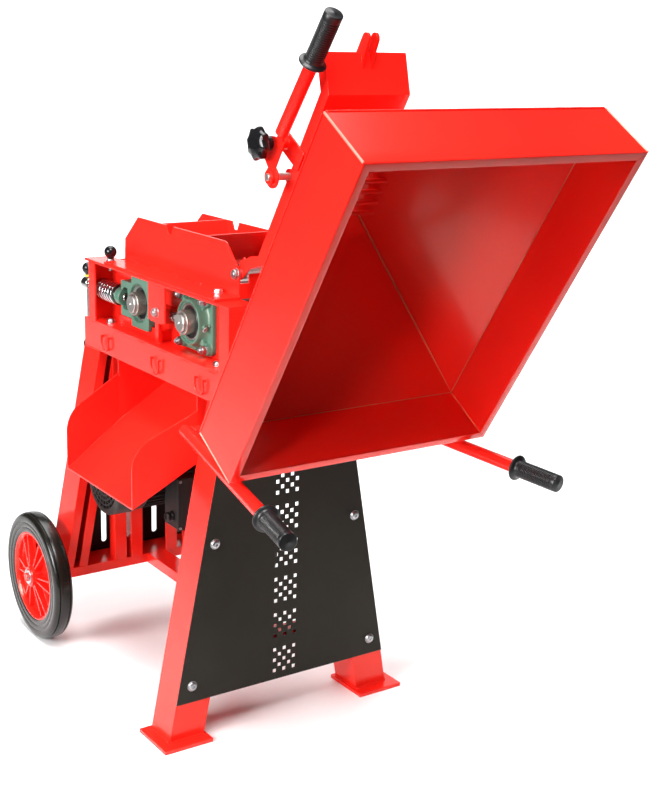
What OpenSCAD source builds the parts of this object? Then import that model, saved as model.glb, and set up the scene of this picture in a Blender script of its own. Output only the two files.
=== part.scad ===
// Feed crusher: two fluted rollers in a head on four legs, fed by a large hopper
// that tips over on a pivot at the front of the inlet box.
// Millimetres, +Z up, Z = 0 on the floor, Y = 0 on the middle plane.
// +X is the foot end where the hopper tips over, -X is the wheel end.

/* [Stand] */
// Length of the side beams over the legs
beam_len = 661; // [658:1:664]
// Height of the side beams' undersides above the floor
beam_z = 701; // [699:1:703]
// Height of the side beams
beam_h = 62; // [60:1:62]
// Width of the head over both side beams
head_w = 289; // [289:1:291]
// Depth of each side beam across the machine
beam_d = 60; // [56:1:60]
// Side of the square foot legs
leg_w = 80; // [76:1:80]
// Wall of the tubes and channels
tube_t = 4; // [3:0.5:4]
// Outward run of a leg from the beam to the floor
leg_run = 130; // [126:1:132]
// Depth of the open channel legs at the wheel end
chan_d = 57; // [54:1:58]
// Width of the slot in a channel leg's inner face
chan_slot = 14; // [10:1:16]

/* [Head] */
// Height of the head between its bottom and top plates
bay_h = 134; // [134:1:136]
// Thickness of the head's flanges and end plates
plate_t = 5; // [4:0.5:5]
// Thickness of the web that carries the bearings
web_t = 6; // [5:0.5:6]

/* [Rollers] */
// Roller radius over the flutes
roll_r = 110; // [106:0.5:110]
// Number of flutes
flutes = 60; // [40:1:64]
// Depth of a flute
flute_d = 2; // [1:0.5:3]
// Distance between the two roller shafts
shaft_gap = 223; // [223:0.5:225]
// Diameter of the roller shafts
shaft_d = 40; // [38:0.5:40]

/* [Hopper] */
// Length of the hopper mouth along X when it stands closed
mouth_l = 705; // [695:1:706]
// Width of the hopper mouth
mouth_w = 591; // [580:1:592]
// Depth of the hopper's upright rim
rim_h = 126; // [110:1:130]
// Sheet thickness of the hopper and the lid
sheet_t = 3; // [2:0.5:3]
// Angle through which the hopper is tipped over at rest
tip_deg = 122; // [118:1:122]

/* [Wheels] */
// Tyre radius
wheel_r = 153; // [152:0.5:153]
// Tyre width
tyre_w = 44.7; // [42:0.1:46]
// Axle diameter
axle_d = 20; // [19:0.5:20]

/* [Drive] */
// Motor shell radius over the fins
motor_r = 82; // [78:1:83]
// Radius of the pulley on the fixed roller
big_pulley_r = 90; // [86:1:90]
// Radius of the motor pulley
small_pulley_r = 36; // [34:1:38]

/* [Hidden] */
$fn = 48;

xf = 80;                       // front face of the foot legs
xr = xf - beam_len;            // rear face of the channel legs
yn = -head_w / 2;              // near face of the side beams
z1 = beam_z + beam_h;          // underside of the head's bottom plate
z2 = z1 + plate_t;             // floor of the bearing bay
z3 = z2 + bay_h;               // ceiling of the bearing bay
z4 = z3 + plate_t;             // top of the head's top plate
splay = leg_run / (beam_z - 8);
head_x0 = -576;
head_x1 = 83;
web_y = -86.5;                 // near face of the near web
shaft_z = 836.5;
fix_x = -129;
take_x = fix_x - shaft_gap;
spring_y = -112;
px = 7.4;                      // hopper pivot
pz = 956;
mx0 = -617;                    // rear edge of the hopper mouth, closed
mz = 1405;                     // height of the hopper mouth, closed
tx0 = -335;                    // throat
tx1 = -195;
thy = 87;
tz = 1031;                     // top face of the lid
gx = -277;                     // gate shaft
gz = 1008;
knob_x = -325;                 // lock stud
knob_z = 971;
slot_r = sqrt(pow(knob_x - gx, 2) + pow(knob_z - gz, 2));
axle_x = -566;
wheel_y = 280.85;
motor_x = -402;
motor_z = 425;
pulley_y = 156;
red = [0.93, 0.13, 0.09];
black = [0.16, 0.15, 0.14];
green = [0.35, 0.56, 0.49];
steel = [0.72, 0.72, 0.70];

function leg_y(z) = yn - (beam_z - z) * splay;
function arc(cx, cy, r, a0, a1, n) =
    [for (i = [0:n]) [cx + r * cos(a0 + (a1 - a0) * i / n), cy + r * sin(a0 + (a1 - a0) * i / n)]];

module far() { mirror([0, 1, 0]) children(); }
module both() { children(); mirror([0, 1, 0]) children(); }
module box(a, b) { translate(a) cube(b - a); }
// An outline in X and Z, extruded along Y
module prof_y(y0, y1) { translate([0, y1, 0]) rotate([90, 0, 0]) linear_extrude(y1 - y0) children(); }
// An outline in Y and Z, extruded along X
module prof_x(x0, x1) { translate([x0, 0, 0]) rotate([90, 0, 90]) linear_extrude(x1 - x0) children(); }
module rod_x(r, x0, x1, y, z) { translate([x0, y, z]) rotate([0, 90, 0]) cylinder(r = r, h = x1 - x0); }
module rod_y(r, y0, y1, x, z) { translate([x, y0, z]) rotate([-90, 0, 0]) cylinder(r = r, h = y1 - y0); }
module rod_z(r, z0, z1, x, y) { translate([x, y, z0]) cylinder(r = r, h = z1 - z0); }
module hex_y(af, y0, y1, x, z) {
    translate([x, y0, z]) rotate([-90, 0, 0]) cylinder(d = af / cos(30), h = y1 - y0, $fn = 6);
}
module hex_x(af, x0, x1, y, z) {
    translate([x0, y, z]) rotate([0, 90, 0]) cylinder(d = af / cos(30), h = x1 - x0, $fn = 6);
}
module hex_z(af, z0, z1, x, y) { translate([x, y, z0]) cylinder(d = af / cos(30), h = z1 - z0, $fn = 6); }
// Places the closed hopper's parts in the tipped pose
module tipped() {
    translate([px, 0, pz]) rotate([0, tip_deg, 0]) translate([-px, 0, -pz]) children();
}

// ---- stand ----
module sack_hook(x) {
    for (s = [-1, 1]) rod_z(2.5, 727, 743.5, x + s * 17, yn - 6);
    translate([x, yn - 6, 727]) rotate([90, 0, 0]) rotate_extrude(angle = -180) translate([17, 0]) circle(r = 2.5);
    for (s = [-1, 1]) rod_y(2.5, yn - 8.5, yn, x + s * 17, 741);
}
module side_beam() color(red) {
    difference() {
        box([xr, yn, beam_z], [xf, yn + beam_d, z1]);
        box([xr - 1, yn + tube_t, beam_z + tube_t], [xf + 1, yn + beam_d - tube_t, z1 - tube_t]);
        for (p = [[-488, -121.5], [-12, -113.5]]) rod_z(5.5, z1 - 10, z1 + 1, p[0], p[1]);
    }
    for (x = [-462, -217.5, -24.5]) sack_hook(x);
}
module leg_section(w, o) {
    polygon([[leg_y(beam_z) + o, beam_z], [leg_y(beam_z) + w - o, beam_z],
        [leg_y(8) + w - o, 8], [leg_y(8) + o, 8]]);
}
module foot_leg() color(red) difference() {
    prof_x(0, xf) leg_section(leg_w, 0);
    prof_x(tube_t, xf - tube_t) leg_section(leg_w, tube_t);
    for (p = [[172, 425], [224, 125]]) rod_x(5.8, xf - 10, xf + 1, -p[0], p[1]);
}
module wheel_leg() color(red) difference() {
    intersection() {
        prof_x(xr, xr + 80) leg_section(chan_d, 0);
        box([xr, -400, 179], [xr + 80, 0, beam_z]);
    }
    prof_x(xr + tube_t, xr + 80 - tube_t) leg_section(chan_d, tube_t);
    prof_x(xr + 70, xr + 90) leg_section(chan_d, (chan_d - chan_slot) / 2);
}
module foot_plates() color(red) both() box([-8, leg_y(8) - 24, 0], [107, leg_y(8) + 87, 8]);
module head_cross_beams() color(red) for (x = [xr, 0]) difference() {
    box([x, yn + beam_d, beam_z], [x + 80, -yn - beam_d, z1]);
    box([x + tube_t, yn + beam_d - 1, beam_z + tube_t], [x + 80 - tube_t, 1 - yn - beam_d, z1 - tube_t]);
}
module rear_rail() color(red) {
    difference() {
        box([xr, -243, 156.5], [xr + 80, 243, 179]);
        box([xr + tube_t, -244, 155], [xr + 80 - tube_t, 244, 175]);
    }
    both() difference() {
        box([xr + tube_t, -243, 138], [xr + 34, -235, 175]);
        rod_y(axle_d / 2, -250, -200, axle_x, 153);
    }
}
module front_rail() color(red) difference() {
    prof_x(20, 60) polygon([[leg_y(155) + leg_w, 155], [-leg_y(155) - leg_w, 155],
        [-leg_y(180) - leg_w, 180], [leg_y(180) + leg_w, 180]]);
    box([23, -300, 158], [57, 300, 177]);
}
module cross_brace() color(red) difference() {
    box([xr + 80, -25, 155], [20, 25, 179]);
    box([xr + 79, -22, 158], [21, 22, 176]);
}
// Angle sections, coped where a leg passes them
module motor_rails() color(red) for (s = [[-114.5, 0], [-71.5, 0], [22.5, 1], [68.5, 1]]) difference() {
    union() {
        box([-499, s[0], 179], [-495, s[0] + 30, beam_z]);
        box([-525, s[0] + 26 * s[1], 179], [-499, s[0] + 4 + 26 * s[1], beam_z]);
    }
    both() prof_x(-540, -500.5) leg_section(chan_d, -1);
}
module front_panel() color(black) prof_x(xf, xf + 3) difference() {
    polygon([[leg_y(89), 89], [-leg_y(89), 89], [-yn, beam_z], [yn, beam_z]]);
    for (s = [-1, 1]) {
        translate([s * 172, 425]) circle(r = 5.5);
        translate([s * 224, 125]) circle(r = 5.5);
    }
    for (b = [0:5], i = [-2:2], j = [0:4]) if ((i + j) % 2 == 0)
        translate([i * 12 - 4.5, 104 + b * 80 + j * 12]) square(9);
}
module rear_vent_panel() color(black) prof_x(xr - 3, xr) difference() {
    polygon([[leg_y(160), 160], [-leg_y(160), 160], [-yn, beam_z], [yn, beam_z]]);
    for (y = [-172.5:69:172.5]) translate([y, 0]) {
        translate([-7, 205]) square([14, abs(y) > 120 ? 190 : 400]);
        translate([0, 205]) circle(r = 7);
        translate([0, abs(y) > 120 ? 395 : 605]) circle(r = 7);
    }
}

// ---- head ----
module head_side() color(red) difference() {
    union() {
        box([xr, yn, z1], [head_x1, web_y + web_t, z2]);
        box([head_x0, yn, z3], [head_x1, web_y + web_t, z4]);
        box([-551, web_y, z2], [79, web_y + web_t, z3]);
        box([-551, yn, z2], [-523, yn + 4, z3]);
        box([45, yn, z2], [79, yn + 4, z3]);
    }
    rod_y(32, web_y - 1, web_y + web_t + 1, fix_x, shaft_z);
    for (x = [take_x, take_x - 18]) rod_y(31, web_y - 1, web_y + web_t + 1, x, shaft_z);
    box([take_x - 18, web_y - 1, shaft_z - 31], [take_x, web_y + web_t + 1, shaft_z + 31]);
    for (i = [-1, 1], j = [-1, 1]) rod_y(5.5, web_y - 1, web_y + web_t + 1, fix_x + i * 51, shaft_z + j * 51);
    rod_z(4.1, z3 - 1, z4 + 1, -513, -108.5);
    for (p = [[-488, -121.5], [-12, -113.5]]) rod_z(5, z1 - 1, z2 + 1, p[0], p[1]);
    rod_z(5, z3 - 1, z4 + 1, -37, -99.5);
}
module head_end_plates() color(red) {
    difference() {
        box([-555, yn, z2], [-551, -yn, z3]);
        both() rod_x(9.1, -556, -550, -112, shaft_z);
    }
    both() difference() {
        union() {
            box([-602, 6.3, 838], [-555, 11, 862]);
            rod_y(12, 6.3, 11, -602, 850);
        }
        rod_y(4, 0, 20, -602, 850);
    }
    rod_y(4, -11, 11, -602, 850);
    box([79, yn, z2], [head_x1, -yn, z3]);
}
module take_up_guides() color(red) both() {
    box([-470, -112.1, 883], [-262, web_y, z3]);
    box([-470, -112.1, z2], [-262, web_y, 791]);
}
module stop_brackets() both() {
    color(red) difference() {
        union() {
            box([-258, yn, 823], [-183, yn + 4.5, z3]);
            box([-258, yn + 4.5, 818], [-206, -100, 850]);
            box([-264, -125, z2], [-248, -115, 818]);
        }
        rod_x(6, -270, -200, -112, 834);
        rod_y(6, -160, -120, -219, 843);
    }
    color(steel) {
        rod_x(5.95, -301.6, -185, -112, 834);
        hex_x(18, -206, -196, -112, 834);
        hex_y(18, -152.5, -144.5, -219, 843);
    }
}
module inlet_side() polygon(concat([[-491, z4], [-488, 960], [-424, 1016], [-290, 1016], [-281, 998],
    [-267, 998], [-258, 1016], [-43, 1016]], arc(-43, 996, 20, 85, 45, 3), [[11, 970], [18.7, 964], [18.7, z4]]));
module inlet_box() color(red) {
    both() difference() {
        union() {
            prof_y(-83.5, -80.5) inlet_side();
            box([-479, -142, z4], [23, -83.5, z4 + plate_t]);
        }
        rod_y(6, -90, -70, px, pz);
        rod_z(5, z4 - 1, z4 + 6, -37, -99.5);
    }
    prof_x(15.7, 18.7) polygon([[-80.5, z4], [80.5, z4], [80.5, 938], [60, 938], [60, 956],
        [-60, 956], [-60, 938], [-80.5, 938]]);
    box([-491, -80.5, z4], [-488, 80.5, 955]);
}
module inlet_baffles() color(red) {
    prof_y(-80.5, 80.5) polygon([[-317, 1016], [-314, 1016], [-289, 948], [-292, 948]]);
    prof_y(-80.5, 80.5) polygon([[-121, 1016], [-118, 1016], [-174, 950], [-177, 950]]);
}

// ---- chute ----
module chute_plan(o) {
    polygon([[-408 + o, 100], [-408 + o, yn], [-382 + o, -300], [-67 - o, -300], [-41 - o, yn], [-41 - o, 100]]);
}
function chute_z(y) = 474 + 0.625 * (y + 282.5);
module discharge_chute() color(red) {
    difference() {
        intersection() {
            linear_extrude(800) chute_plan(0);
            prof_x(-420, -30) polygon(concat([[-282.5, chute_z(-282.5) - 3.5], [-282.5, 550]],
                arc(-212.5, 555, 70, 176, 120, 7), [[-144.5, 669], [-144.5, 700.5], [80, 700.5],
                [80, chute_z(80) - 3.5]]));
        }
        intersection() {
            linear_extrude(900) chute_plan(sheet_t);
            prof_x(-430, -20) polygon([[-320, chute_z(-320)], [90, chute_z(90)], [90, 720], [-320, 720]]);
        }
    }
}

// ---- transport handles and wheels ----
hs = [24, -208.5, 653];
module along_handle() { translate(hs) rotate([0, 94.5, -10.3]) children(); }
module handle() color(red) {
    along_handle() cylinder(r = 13, h = 446);
    difference() {
        box([26, -209, 643], [54, leg_y(662), 661]);
        prof_x(20, 60) polygon([[leg_y(600), 600], [leg_y(700), 700], [0, 700], [0, 600]]);
        along_handle() cylinder(r = 12.9, h = 446);
    }
}
module handle_grips() color(black) both() along_handle() difference() {
    translate([0, 0, 440]) rotate_extrude() polygon(concat([[0, 0], [25, 0], [25, 6], [17, 11]],
        [for (i = [0:10], k = [0:1]) [k == 0 ? 17 : 14.8, 13 + i * 7 + k * 4]], [[16.5, 92], [14, 101], [0, 101]]));
    translate([0, 0, 430]) cylinder(r = 13, h = 16);
}
module wheel_axle() color(steel) {
    rod_y(axle_d / 2, -316, 316, axle_x, 153);
    both() difference() {
        union() {
            rod_y(16, -253.2, -243, axle_x, 153);
            rod_y(18, -311.2, -308.5, axle_x, 153);
        }
        rod_y(axle_d / 2 - 0.5, -320, -240, axle_x, 153);
    }
}
module at_wheel() { translate([axle_x, -wheel_y, 153]) rotate([90, 0, 0]) children(); }
module wheel_rim() color(red) at_wheel() difference() {
    union() {
        rotate_extrude($fn = 72) polygon([[97, -19], [107, -19], [107, 19], [103, 19], [97, 14], [97, 3], [22, 3],
            [22, -3], [97, -3]]);
        translate([0, 0, -27.2]) cylinder(r = 24, h = 54.4);
        for (a = [0:60:300], s = [-9, 9]) rotate(a + s) translate([22, -2, -16]) cube([77, 4, 30]);
    }
    translate([0, 0, -40]) cylinder(r = axle_d / 2 + 0.08, h = 80);
    for (a = [30:60:330]) rotate(a) translate([72, 0, -10]) cylinder(r = 11, h = 20);
}
module tyre() color(black) at_wheel() rotate_extrude($fn = 96) polygon([[107, -19], [124, -22.3], [143, -22.35],
    [149, -19], [152, -12], [wheel_r, -4], [wheel_r, 4], [152, 12], [149, 19], [143, 22.35], [124, 22.3], [107, 19]]);

// ---- bearings and rollers ----
module insert_at(x, y0, y1) color([0.12, 0.12, 0.12]) difference() {
    union() {
        rod_y(40, y0, y1, x, shaft_z);
        rod_y(36, y0 - 1, y0, x, shaft_z);
    }
    rod_y(26.3, y0 - 2, y1 + 1, x, shaft_z);
}
module flange_bearings() both() {
    color(green) difference() {
        union() {
            prof_y(-97, web_y) translate([fix_x, shaft_z]) union() {
                square([130, 102], center = true);
                square([102, 130], center = true);
                for (i = [-1, 1], j = [-1, 1]) translate([i * 51, j * 51]) circle(r = 14);
            }
            translate([fix_x, -97, shaft_z]) rotate([90, 0, 0]) cylinder(r1 = 57, r2 = 50, h = 12);
            translate([fix_x, -109, shaft_z]) rotate([90, 0, 0]) cylinder(r1 = 50, r2 = 48, h = 10);
            for (i = [-1, 1], j = [-1, 1]) rod_y(12, -106, -97, fix_x + i * 51, shaft_z + j * 51);
            for (a = [45:90:315]) translate([fix_x, 0, shaft_z]) rotate([0, a, 0])
                prof_y(-106, -97) translate([45, -5]) square([20, 10]);
            translate([fix_x + 49, -105, shaft_z - 4]) rotate([0, 90, 0]) cylinder(r = 5, h = 8);
        }
        rod_y(44, -120, -114, fix_x, shaft_z);
        rod_y(40, -130, -80, fix_x, shaft_z);
        for (i = [-1, 1], j = [-1, 1]) rod_y(5.5, -110, -80, fix_x + i * 51, shaft_z + j * 51);
    }
    insert_at(fix_x, -114, -94);
}
module take_up_bearings() both() {
    color(green) difference() {
        union() {
            prof_y(-120.5, -88) polygon([[-385, 780.5], [-302, 780.5], [-302, 894], [-385, 894], [-385, 876.5],
                [-437, 876.5], [-437, 796.5], [-385, 796.5]]);
            rod_x(20, -453, -430, -112, shaft_z);
        }
        rod_y(44, -125, -114, take_x, shaft_z);
        rod_y(40, -130, -80, take_x, shaft_z);
        prof_y(-135, -80) polygon(concat(arc(-407, shaft_z, 28.5, 117, 243, 10), [[-404, 811]],
            arc(take_x, shaft_z, 53, 196, 164, 4), [[-404, 862]]));
        rod_x(9.6, -460, -430, -112, shaft_z);
        box([-460, -112.4, 882.6], [-290, -80, 900]);
        box([-460, -112.4, 770], [-290, -80, 791.4]);
    }
    insert_at(take_x, -114, -94);
}
module drum(x) {
    prof_y(-76.5, 76.5) difference() {
        translate([x, shaft_z]) polygon([for (i = [0:flutes - 1], k = [0:1])
            (roll_r - k * flute_d) * [cos((i + k * 0.65) * 360 / flutes), sin((i + k * 0.65) * 360 / flutes)]]);
        translate([x, shaft_z]) circle(r = shaft_d / 2);
    }
}
module roller_shaft(x) {
    rod_y(shaft_d / 2, -140, 140, x, shaft_z);
    both() difference() {
        rod_y(26, -134, -89.2, x, shaft_z);
        rod_y(shaft_d / 2 - 0.5, -139, -80, x, shaft_z);
        rod_x(3, x, x + 40, -126, shaft_z);
        rod_z(3, shaft_z, shaft_z + 40, x, -126);
    }
}
module fixed_roller() color(steel) drum(fix_x);
module sprung_roller() color(steel) drum(take_x);
module pulley(r, x, z, bore) difference() {
    translate([x, pulley_y, z]) rotate([-90, 0, 0]) rotate_extrude($fn = 72) polygon([[bore, -4], [bore + 9, -4],
        [bore + 9, 4], [r - 14, 4], [r - 14, 0], [r, 0], [r, 1.5], [r - 6, 5], [r - 6, 15], [r, 18.5], [r, 20],
        [r - 14, 20], [r - 14, 12], [bore + 9, 12], [bore + 9, 22], [bore, 22]]);
}
module fixed_shaft() color(steel) {
    roller_shaft(fix_x);
    rod_y(15, 139, 182, fix_x, shaft_z);
    color([0.3, 0.3, 0.3]) pulley(big_pulley_r, fix_x, shaft_z, 14.5);
}
module sprung_shaft() color(steel) roller_shaft(take_x);

// ---- take-up springs, spindles and knobs ----
spring_r = 20.4;
spring_x0 = -531.9;
spring_x1 = -453.3;
turns = 5;
wire = [[-4.75, 4.1], [4.75, 4.1], [4.75, -4.1], [-4.75, -4.1]]; // half-widths along the axis and across it
module take_up_spring() color(steel) {
    n = turns * 20;
    ring = [for (i = [0:n], k = [0:3]) let (a = i * 18, r = spring_r + wire[k][1])
        [spring_x0 + 4.75 + (spring_x1 - spring_x0 - 9.5) * i / n + wire[k][0],
            -112 + r * cos(a), shaft_z + r * sin(a)]];
    polyhedron(ring, concat(
        [for (i = [0:n - 1], k = [0:3]) each [[i * 4 + k, i * 4 + (k + 1) % 4, (i + 1) * 4 + (k + 1) % 4],
            [i * 4 + k, (i + 1) * 4 + (k + 1) % 4, (i + 1) * 4 + k]]],
        [[3, 2, 1, 0]], [[for (k = [0:3]) n * 4 + k]]), convexity = 8);
}
module spindle() color(steel) difference() {
    union() {
        rod_x(9, -613, -424, -112, shaft_z);
        rod_x(14, -641, -612, -112, shaft_z);
        rod_x(24.5, -551, -532, -112, shaft_z);
    }
    rod_z(4.55, 700, 900, -627, -112);
}
module ball(x, y, z) { translate([x, y, z]) sphere(r = 14.5, $fn = 32); }
module tommy_bar() {
    color(steel) rod_z(4.5, 701, 861, -627, -112);
    color(black) difference() {
        union() { ball(-627, -112, 872); ball(-627, -112, 690); }
        rod_z(4.5, 701, 861, -627, -112);
    }
    color("gold") difference() { rod_z(8, 853, 857, -627, -112); rod_z(4.5, 850, 870, -627, -112); }
}
module clamp_knob() {
    color(black) difference() {
        ball(-513, -108.5, 927);
        rod_z(4, 880, 922, -513, -108.5);
    }
    color(steel) rod_z(4, 884, 922, -513, -108.5);
}

// ---- hopper, built closed and then tipped ----
mx1 = mx0 + mouth_l;
my = mouth_w / 2;
module frustum(o) {
    // o moves each wall inwards; the ends run past the sheet so that it stays open
    e = o > 0 ? 2 : 0;
    za = tz - e;
    zb = mz - rim_h + e;
    h = mz - rim_h - tz;
    f = function(z, a, b) a + (b - a) * (z - tz) / h;
    ox0 = o * sqrt(1 + pow((tx0 - mx0) / h, 2));
    ox1 = o * sqrt(1 + pow((mx1 - tx1) / h, 2));
    oy = o * sqrt(1 + pow((my - thy) / h, 2));
    pts = [for (z = [za, zb]) each [
        [f(z, tx0, mx0) + ox0, -f(z, thy, my) + oy, z], [f(z, tx1, mx1) - ox1, -f(z, thy, my) + oy, z],
        [f(z, tx1, mx1) - ox1, f(z, thy, my) - oy, z], [f(z, tx0, mx0) + ox0, f(z, thy, my) - oy, z]]];
    polyhedron(pts, [[0, 1, 2, 3], [7, 6, 5, 4], [0, 4, 5, 1], [1, 5, 6, 2], [2, 6, 7, 3], [3, 7, 4, 0]]);
}
module hopper_rim() color(red) tipped() difference() {
    box([mx0, -my, mz - rim_h], [mx1, my, mz]);
    box([mx0 + sheet_t, -my + sheet_t, mz - rim_h - 1], [mx1 - sheet_t, my - sheet_t, mz - sheet_t]);
    box([mx0 + 17, -my + 17, mz - rim_h - 1], [mx1 - 17, my - 17, mz + 1]);
}
module hopper_funnel() color(red) tipped() {
    difference() { frustum(0); frustum(sheet_t); }
    intersection() {
        frustum(sheet_t - 0.5);
        for (x = [-316, -290.5, -265, -239.5, -214]) rod_y(5, -120, 120, x, 1049);
    }
}
module inlet_lid() color(red) tipped() difference() {
    union() {
        prof_y(-86.5, 86.5) polygon([[-524, 977], [-471, tz], [-85, tz], [-85, tz - 3], [-469.7, tz - 3],
            [-521.9, 974.9]]);
        both() prof_y(-89.5, -86.5) polygon([[-524, 977], [-471, tz], [-85, tz], [-85, 1007],
            [-461, 1007], [-507, 960]]);
        prof_y(-76.5, 76.5) polygon([[-90, tz], [-85, tz], [-15, 969], [-15, 946], [-18, 946], [-18, 967.6],
            [-86.3, 1028], [-90, 1028]]);
        both() prof_y(-76.5, -72.5) difference() {
            union() {
                polygon([[-86, tz - 1], [-15.5, 968.5], [-15.5, 946], [-50, 970], [-86, 1010]]);
                polygon([[-30, 980], [px, pz + 12], [px, pz - 12], [-30, 950]]);
                translate([px, pz]) circle(r = 12);
            }
            translate([px, pz]) circle(r = 6.1);
        }
        both() prof_y(-89.5, -86.5) translate([gx, gz]) circle(r = 14);
        for (s = [-12, 7]) prof_y(s, s + 5) union() {
            polygon([[-498, 985], [-486, 1004], [-524, 991], [-556, 986], [-552, 966], [-509, 966]]);
            translate([-552, 976]) circle(r = 10);
        }
    }
    box([tx0 + sheet_t, -84, tz - 10], [tx1 - sheet_t, 84, tz + 10]);
    both() rod_y(7.1, -95, -80, gx, gz);
}
module hopper_pivots() color(steel) both() {
    difference() {
        union() {
            rod_y(6, -84, -64, px, pz);
            rod_y(11, -80.5, -76.6, px, pz);
            hex_y(19, -91.5, -83.5, px, pz);
            hex_y(19, -72.4, -63, px, pz);
        }
    }
}
module lock_bracket() tipped() {
    color(red) difference() {
        union() {
            box([-345, -93.5, 957], [-305, -89.5, 1029]);
            rod_y(10, -121, -93.5, knob_x, knob_z);
        }
        rod_y(5, -122, -100, knob_x, knob_z);
    }
    color(steel) rod_y(5, -158, -100, knob_x, knob_z);
}

// ---- feed gate, its lever and lock ----
module gate_flap() color(steel) tipped() {
    rod_y(7, -138, 94, gx, gz);
    box([gx, -76, gz - 3], [gx + 72, 76, gz + 3]);
}
lever_a = 175.4;
module gate_lever() color(red) tipped() {
    difference() {
        union() {
            prof_y(-127, -124) difference() {
                union() {
                    translate([gx, gz]) polygon(concat([[0, 0]], arc(0, 0, 74, 180, 252, 10)));
                    translate([gx, gz]) circle(r = 21);
                    polygon([[gx - 60, gz - 6], [gx - 110, gz - 10], [gx - 110, gz - 24], [gx - 70, gz - 26]]);
                }
                translate([gx, gz]) polygon(concat(arc(0, 0, slot_r - 5.4, 215.6, 241.6, 8),
                    arc(0, 0, slot_r + 5.4, 241.6, 215.6, 8)));
                for (a = [215.6, 241.6]) translate([gx + slot_r * cos(a), gz + slot_r * sin(a)]) circle(r = 5.4);
            }
            rod_y(14, -134, -123, gx, gz);
        }
        rod_y(7, -140, -120, gx, gz);
    }
    translate([-361, -125.5, 990]) rotate([0, 90 - lever_a, 0]) cylinder(r = 12.5, h = 162);
}
module lever_grip() color(black) tipped() translate([-361, -125.5, 990]) rotate([0, 90 - lever_a, 0]) difference() {
    translate([0, 0, 156]) rotate_extrude() polygon(concat([[0, 0], [25, 0], [25, 6], [17, 11]],
        [for (i = [0:10], k = [0:1]) [k == 0 ? 17 : 14.8, 14 + i * 7 + k * 4]], [[16.5, 94], [13, 105], [0, 105]]));
    translate([0, 0, 150]) cylinder(r = 12.5, h = 12);
}
module star_knob() color(black) tipped() difference() {
    union() {
        prof_y(-167, -145) translate([knob_x, knob_z]) union() {
            circle(r = 25);
            for (a = [0:45:315]) rotate(a) translate([24, 0]) circle(r = 7.5, $fn = 24);
        }
        rod_y(13, -145.5, -127.1, knob_x, knob_z);
    }
    rod_y(5.06, -158.5, -120, knob_x, knob_z);
}
// Hangs at the wheel end and swings up between the lid's lugs to hold the hopper closed
module swing_bolt() color(steel) {
    difference() {
        union() {
            rod_y(9, -6, 6, -602, 850);
            rod_z(5, 697, 848, -602, 0);
        }
        rod_y(4.06, -8, 8, -602, 850);
    }
    color(black) rod_z(13, 673, 697, -602, 0);
}

// ---- motor and belt drive ----
module motor_body() color(black) {
    translate([motor_x, -130, motor_z]) rotate([-90, 0, 0]) linear_extrude(225) difference() {
        union() {
            circle(r = 70);
            for (a = [0:12:348]) rotate(a) translate([60, -1.5]) square([motor_r - 60, 3]);
        }
        circle(r = 11);
    }
    difference() {
        union() {
            for (y = [-110, 30], h = [-62, 62])
                box([-495, y, motor_z + h - 10], [-440, y + 40, motor_z + h + 10]);
            for (y = [-110, 30]) box([-495, y, motor_z - 72], [-487, y + 40, motor_z + 72]);
            box([motor_x + 66, -70, 320], [motor_x + 140, -20, 445]);
            rod_y(9, -84, -69, motor_x + 112, 350);
        }
        rod_y(motor_r + 0.3, -140, 100, motor_x, motor_z);
    }
}
module fan_cowl() color(black) translate([motor_x, -130, motor_z]) rotate([90, 0, 0]) difference() {
    union() {
        cylinder(r = 84, h = 52);
        translate([0, 0, 52]) cylinder(r1 = 84, r2 = 76, h = 7.5);
    }
    translate([0, 0, -1]) cylinder(r = 81.5, h = 54);
    for (a = [0:15:345]) rotate(a) translate([34, -2, 40]) cube([34, 4, 30]);
}
module motor_rotor() color(steel) {
    rod_y(10.9, -150, 182, motor_x, motor_z);
    rod_y(60, -180, -150, motor_x, motor_z);
    color([0.3, 0.3, 0.3]) pulley(small_pulley_r, motor_x, motor_z, 10.4);
}
module loop(r1, r2) hull() {
    translate([fix_x, shaft_z]) circle(r = r1);
    translate([motor_x, motor_z]) circle(r = r2);
}
module drive_belt() color(black) prof_y(pulley_y + 5.3, pulley_y + 14.7) difference() {
    loop(big_pulley_r + 2, small_pulley_r + 2);
    loop(big_pulley_r - 5.6, small_pulley_r - 5.6);
}
module belt_guard() color(red) {
    difference() {
        prof_y(148, 190) loop(big_pulley_r + 14, small_pulley_r + 14);
        prof_y(147, 188) loop(big_pulley_r + 12, small_pulley_r + 12);
    }
    box([-195, 144.5, 722], [-130, 188.5, 730]);
}

// ---- fasteners ----
module bolts() color(steel) both() {
    for (i = [-1, 1], j = [-1, 1]) {
        rod_y(5, -122, -80.7, fix_x + i * 51, shaft_z + j * 51);
        rod_y(10, -108, -106, fix_x + i * 51, shaft_z + j * 51);
        hex_y(17, -116, -108, fix_x + i * 51, shaft_z + j * 51);
    }
    for (p = [[172, 425], [224, 125]]) {
        rod_x(5.4, 70, 84, -p[0], p[1]);
        translate([83, -p[0], p[1]]) rotate([0, 90, 0]) cylinder(r1 = 10, r2 = 7, h = 5);
    }
    for (p = [[-488, -121.5], [-12, -113.5]]) {
        rod_z(5, 740, z2 + 1, p[0], p[1]);
        hex_z(17, z2, z2 + 7, p[0], p[1]);
    }
    rod_z(5, z3 - 16, z4 + 8, -37, -99.5);
    hex_z(17, z4 + plate_t, z4 + plate_t + 8, -37, -99.5);
    hex_z(17, z3 - 8, z3, -37, -99.5);
    difference() {
        union() {
            hex_z(17, z4, z4 + 5, -513, -108.5);
            hex_z(17, z3 - 8, z3, -513, -108.5);
        }
        rod_z(4.1, z3 - 20, z4 + 20, -513, -108.5);
    }
}

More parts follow.
